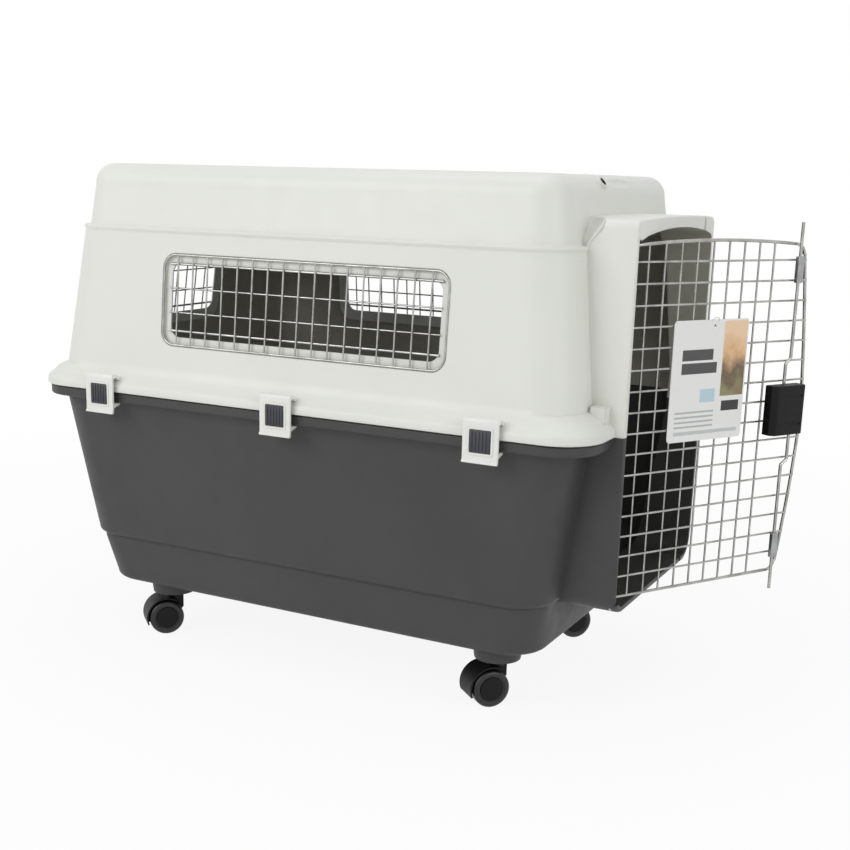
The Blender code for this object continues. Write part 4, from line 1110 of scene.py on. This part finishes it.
clouds = noise(tree, printed_side, PICTURE_CLOUDS, 4.0)
height = maths(tree, "MULTIPLY_ADD", clouds, 0.5, axes.outputs["Y"])
tones = ((place / HIGHEST, code) for place, code in picture_tones)
picture = tone_ramp(tree, maths(tree, "DIVIDE", height, HIGHEST), *tones)
printed = print_block(srgb("#ececea"), 0.67, 0.985, 0.36, 0.985, picture)
for left, right, bottom, top, code in print_blocks:
    printed = print_block(printed, left, right, bottom, top, srgb(code))
fibre = noise(tree, printed_side, FIBRES, 2.0)
dress(tree, printed, ranged(tree, fibre, 0.30, 0.44), fibre, 0.08, 0.0002)
seat(card, "door", "card", "hang_tag", place=door_place)

# White nylon: a smooth bright thread, glossier than the card.
white_nylon = moulded_plastic("white_nylon_loop", "#e8e8e6", "#e0e0dd", 0.35, 0.1, 0.0004)
loop_path = []
for y, z in arc((TAG_HOLE_Y, LOOP_Z), LOOP_RADIUS, 0, 360, 28):
    sway = 0.004 * math.sin((z - LOOP_Z) / LOOP_RADIUS)
    loop_path.append((TAG_BACK - 0.0002 + sway, y, z))
loop_path[-1] = loop_path[0]
tag_loop = wires([loop_path], 0.0012, white_nylon, "tag_loop", 10)
seat(tag_loop, "door", "card", place=door_place)


# The side clips: six white polypropylene snap clips, each hung on the skirt by its top edge
# and hooked under the tub's flange. A slate grey ribbed button in each one releases the hook.
CLIP_THICK = 0.0035
CLIP_HALF = 0.023
CLIP_PIVOT_Z = 0.3895
CLIP_PIVOT_OUT = 0.256
HOOK_OUT = 0.2540
FACE_IN = 0.2662
FACE_OUT = FACE_IN + CLIP_THICK
RIM_WIDTH = 0.0032
RIM_OUT = FACE_OUT + 0.0006
BUTTON_HALF = 0.0135
BUTTON_Z = SEAM_Z - 0.0025
RIBS = 6
RIB_PITCH = 2 * BUTTON_HALF / RIBS
clip_places = {"rear": -0.2904, "middle": -0.0057, "front": 0.2790}
# Slate grey polypropylene: darker and bluer than the tub, so the ribs show as fine light lines.
slate_plastic = moulded_plastic(
    "slate_grey_polypropylene", "#3c3d42", "#35363b", 0.45, 0.3, 0.0006
)
# White clip polypropylene: a little brighter and glossier than the cover behind it.
clip_white = moulded_plastic(
    "white_clip_polypropylene", "#e9e9e4", "#e4e4df", 0.38, 0.15, 0.0008
)


def clip_section():
    """The clip across the rim, as (distance out, up): barrel, face, hook and flared foot."""
    hook = SEAM_Z - FLANGE_HEIGHT - 0.0006
    foot = SEAM_Z - 0.029
    points = list(arc((CLIP_PIVOT_OUT, CLIP_PIVOT_Z), 0.0030, 90, 300, 12))
    points += [
        (CLIP_PIVOT_OUT + 0.0040, CLIP_PIVOT_Z + 0.001), (FACE_IN, CLIP_PIVOT_Z - 0.001),
        (FACE_IN, hook), (HOOK_OUT, hook), (HOOK_OUT, hook - 0.0025), (FACE_IN, hook - 0.0060),
    ]
    foot_turn = (
        (-CLIP_THICK + 0.0010, 0.0004), (0.0012, 0.0), (0.0022, 0.0008), (0.0020, 0.0022),
        (0.0004, 0.0036), (0.0, 0.0060),
    )
    points += [(FACE_OUT + out, foot + up) for out, up in foot_turn]
    top_turn = ((0.0, 0.0010), (-0.0006, 0.0035), (-0.0022, 0.0050), (-0.0050, 0.0055))
    points += [(FACE_OUT + out, CLIP_PIVOT_Z + up) for out, up in top_turn]
    return points


def button_block(left, right, half_height, out, start, end, name):
    """A block on one side of the crate, from one distance out to another."""
    inner, outer = sorted((out * start, out * end))
    low, high = BUTTON_Z - half_height, BUTTON_Z + half_height
    return new_object(name, block((left, inner, low), (right, outer, high), name), slate_plastic)


for side, out in (("near", -1), ("far", 1)):
    for spot, x in clip_places.items():
        name = f"{side}_{spot}_clip"
        outline = [(out * y, z) for y, z in clip_section()]
        plate = slab(outline, "X", x - CLIP_HALF, x + CLIP_HALF, name)
        clip = new_object(name, plate, clip_white)
        step = soften(clip, 0.0007, 2)
        step.limit_method = "ANGLE"
        step.angle_limit = math.radians(40)
        rim = rounded_plate(
            (x, BUTTON_Z), [BUTTON_HALF + RIM_WIDTH] * 2, 0.003, out * (FACE_IN + 0.002),
            out * RIM_OUT, "button_rim", 5,
        )
        well = rounded_plate(
            (x, BUTTON_Z), [BUTTON_HALF + 0.0004] * 2, 0.0012, out * (FACE_IN - 0.003),
            out * (RIM_OUT + 0.003), "button_well", 3,
        )
        settle(clip, add(rim), cut(well))
        seat(clip, name, "shell", f"{name}_body")

        left = x - BUTTON_HALF
        button = button_block(
            left, x + BUTTON_HALF, BUTTON_HALF, out, FACE_IN, FACE_OUT + 0.0006, "button"
        )
        soften(button, 0.0008, 2)
        settle(button)
        rib = button_block(
            left + RIB_PITCH * 0.2, left + RIB_PITCH * 0.8, BUTTON_HALF - 0.0015, out,
            FACE_IN + 0.001, FACE_OUT + 0.0016, "rib",
        )
        soften(rib, 0.0005, 2)
        settle(rib)
        pitch = (RIB_PITCH, 0.0, 0.0)
        ribs = run_tree(rib, spaced_copies, Count=RIBS, Step=pitch, Finish=slate_plastic)
        pad = join_pieces([button, ribs], f"{name}_button_pad_ribbed")
        seat(pad, f"{name}_press", "button", f"{name}_button")


# The casters: four black twin-wheel swivel casters, their stems pressed into the bosses. The
# hood and neck are one nylon moulding, and the two discs of each turn on a short steel axle.
WHEEL_RADIUS = 0.025
WHEEL_WIDTH = 0.0165
HALF_GAP = 0.00525
TRAIL = 0.015
HUB = (-TRAIL, WHEEL_RADIUS)
SWIVEL_DEG = 48.0
# Hard black wheel plastic: glossier than the nylon, so the light draws a line round the tread.
tread_plastic = moulded_plastic("black_wheel_plastic", "#151515", "#121212", 0.36, 0.2, 0.0006)


def turned(profile, name, steps=48):
    """A closed profile of (along the axle, radius), turned about the axle at the hub."""
    rings = [
        [(HUB[0] + radius * math.cos(angle), along, HUB[1] + radius * math.sin(angle))
         for along, radius in profile]
        for angle in around(steps)
    ]
    return skin_rings(rings, name, closed_run=True)


def axle_rod(start, end, radius, name, sides, end_radius=None):
    """A round bar along the axle, between two distances from the middle of the caster."""
    start, end = ((HUB[0], along, HUB[1]) for along in (start, end))
    return rod(start, end, radius, name, sides, end_radius)


def disc_profile(sign):
    """One disc: a crowned tread, a raised ring on its outer face and a dished middle."""
    points = [
        (0.0, 0.0034), (0.0, 0.0236), (0.0004, 0.0245), (0.0014, 0.0250), (0.0125, 0.0250),
        (0.0142, 0.0246), (0.0154, 0.0236), (0.0161, 0.0222), (0.0165, 0.0206), (0.0165, 0.0190),
        (0.0160, 0.0180), (0.0152, 0.0176), (0.0148, 0.0166), (0.0148, 0.0120), (0.0150, 0.0060),
        (0.0150, 0.0034),
    ]
    return [(sign * (HALF_GAP + along), radius) for along, radius in points]


web_side = list(arc(HUB, 0.0270, 200, 90, 10))
web_side += [
    (-0.0060, 0.0550), (-0.0040, 0.0585), (0.0100, 0.0585), (0.0120, 0.0565), (0.0120, 0.0360),
    (0.0040, 0.0260), (-0.0085, 0.0140), (-0.0215, 0.0140),
]
guard_side = list(arc(HUB, 0.0294, 200, 62, 20)) + list(arc(HUB, 0.0272, 62, 200, 20))
web_half = HALF_GAP - 0.0004
guard_half = HALF_GAP + WHEEL_WIDTH - 0.003
axle_half = HALF_GAP + WHEEL_WIDTH - 0.0020
bore_half = HALF_GAP + 0.003
for end, x in (("rear", -CASTER_X), ("front", CASTER_X)):
    for side, y in (("near", -CASTER_Y), ("far", CASTER_Y)):
        name = f"{end}_{side}_caster"
        where = placed((x, y, 0.0), SWIVEL_DEG)
        hood = new_object(
            f"{name}_hood_and_neck", slab(web_side, "Y", -web_half, web_half, "web"), black_nylon
        )
        neck = rod((0.0, 0.0, 0.0505), (0.0, 0.0, 0.0610), 0.0095, "neck", 32)
        stem = rod((0.0, 0.0, 0.0565), (0.0, 0.0, 0.0814), 0.0055, "stem", 24)
        guard = slab(guard_side, "Y", -guard_half, guard_half, "guard")
        bore = axle_rod(-bore_half, bore_half, 0.0034, "bore", 20)
        settle(hood, add(neck), add(stem), add(guard), cut(bore))
        seat(hood, name, "latch", f"{name}_hood", place=where)
        pin = axle_rod(-axle_half, axle_half, 0.0030, "axle", 24)
        axle = new_object(f"{name}_axle_pin", pin, zinc_steel)
        seat(axle, name, "zinc", f"{name}_axle", place=where)
        for hand, sign in (("left", 1), ("right", -1)):
            wheel = f"{name}_{hand}"
            disc = new_object(f"{wheel}_disc", turned(disc_profile(sign), "disc"), tread_plastic)
            seat(disc, f"{wheel}_roll", "tread", f"{wheel}_wheel", place=where)
            low, high = sign * (HALF_GAP + 0.0148), sign * (HALF_GAP + 0.0158)
            cover = axle_rod(low, high, 0.0164, "cap", 48, 0.0157)
            cap = new_object(f"{wheel}_hub_cap", cover, black_nylon)
            seat(cap, f"{wheel}_roll", "latch", place=where)
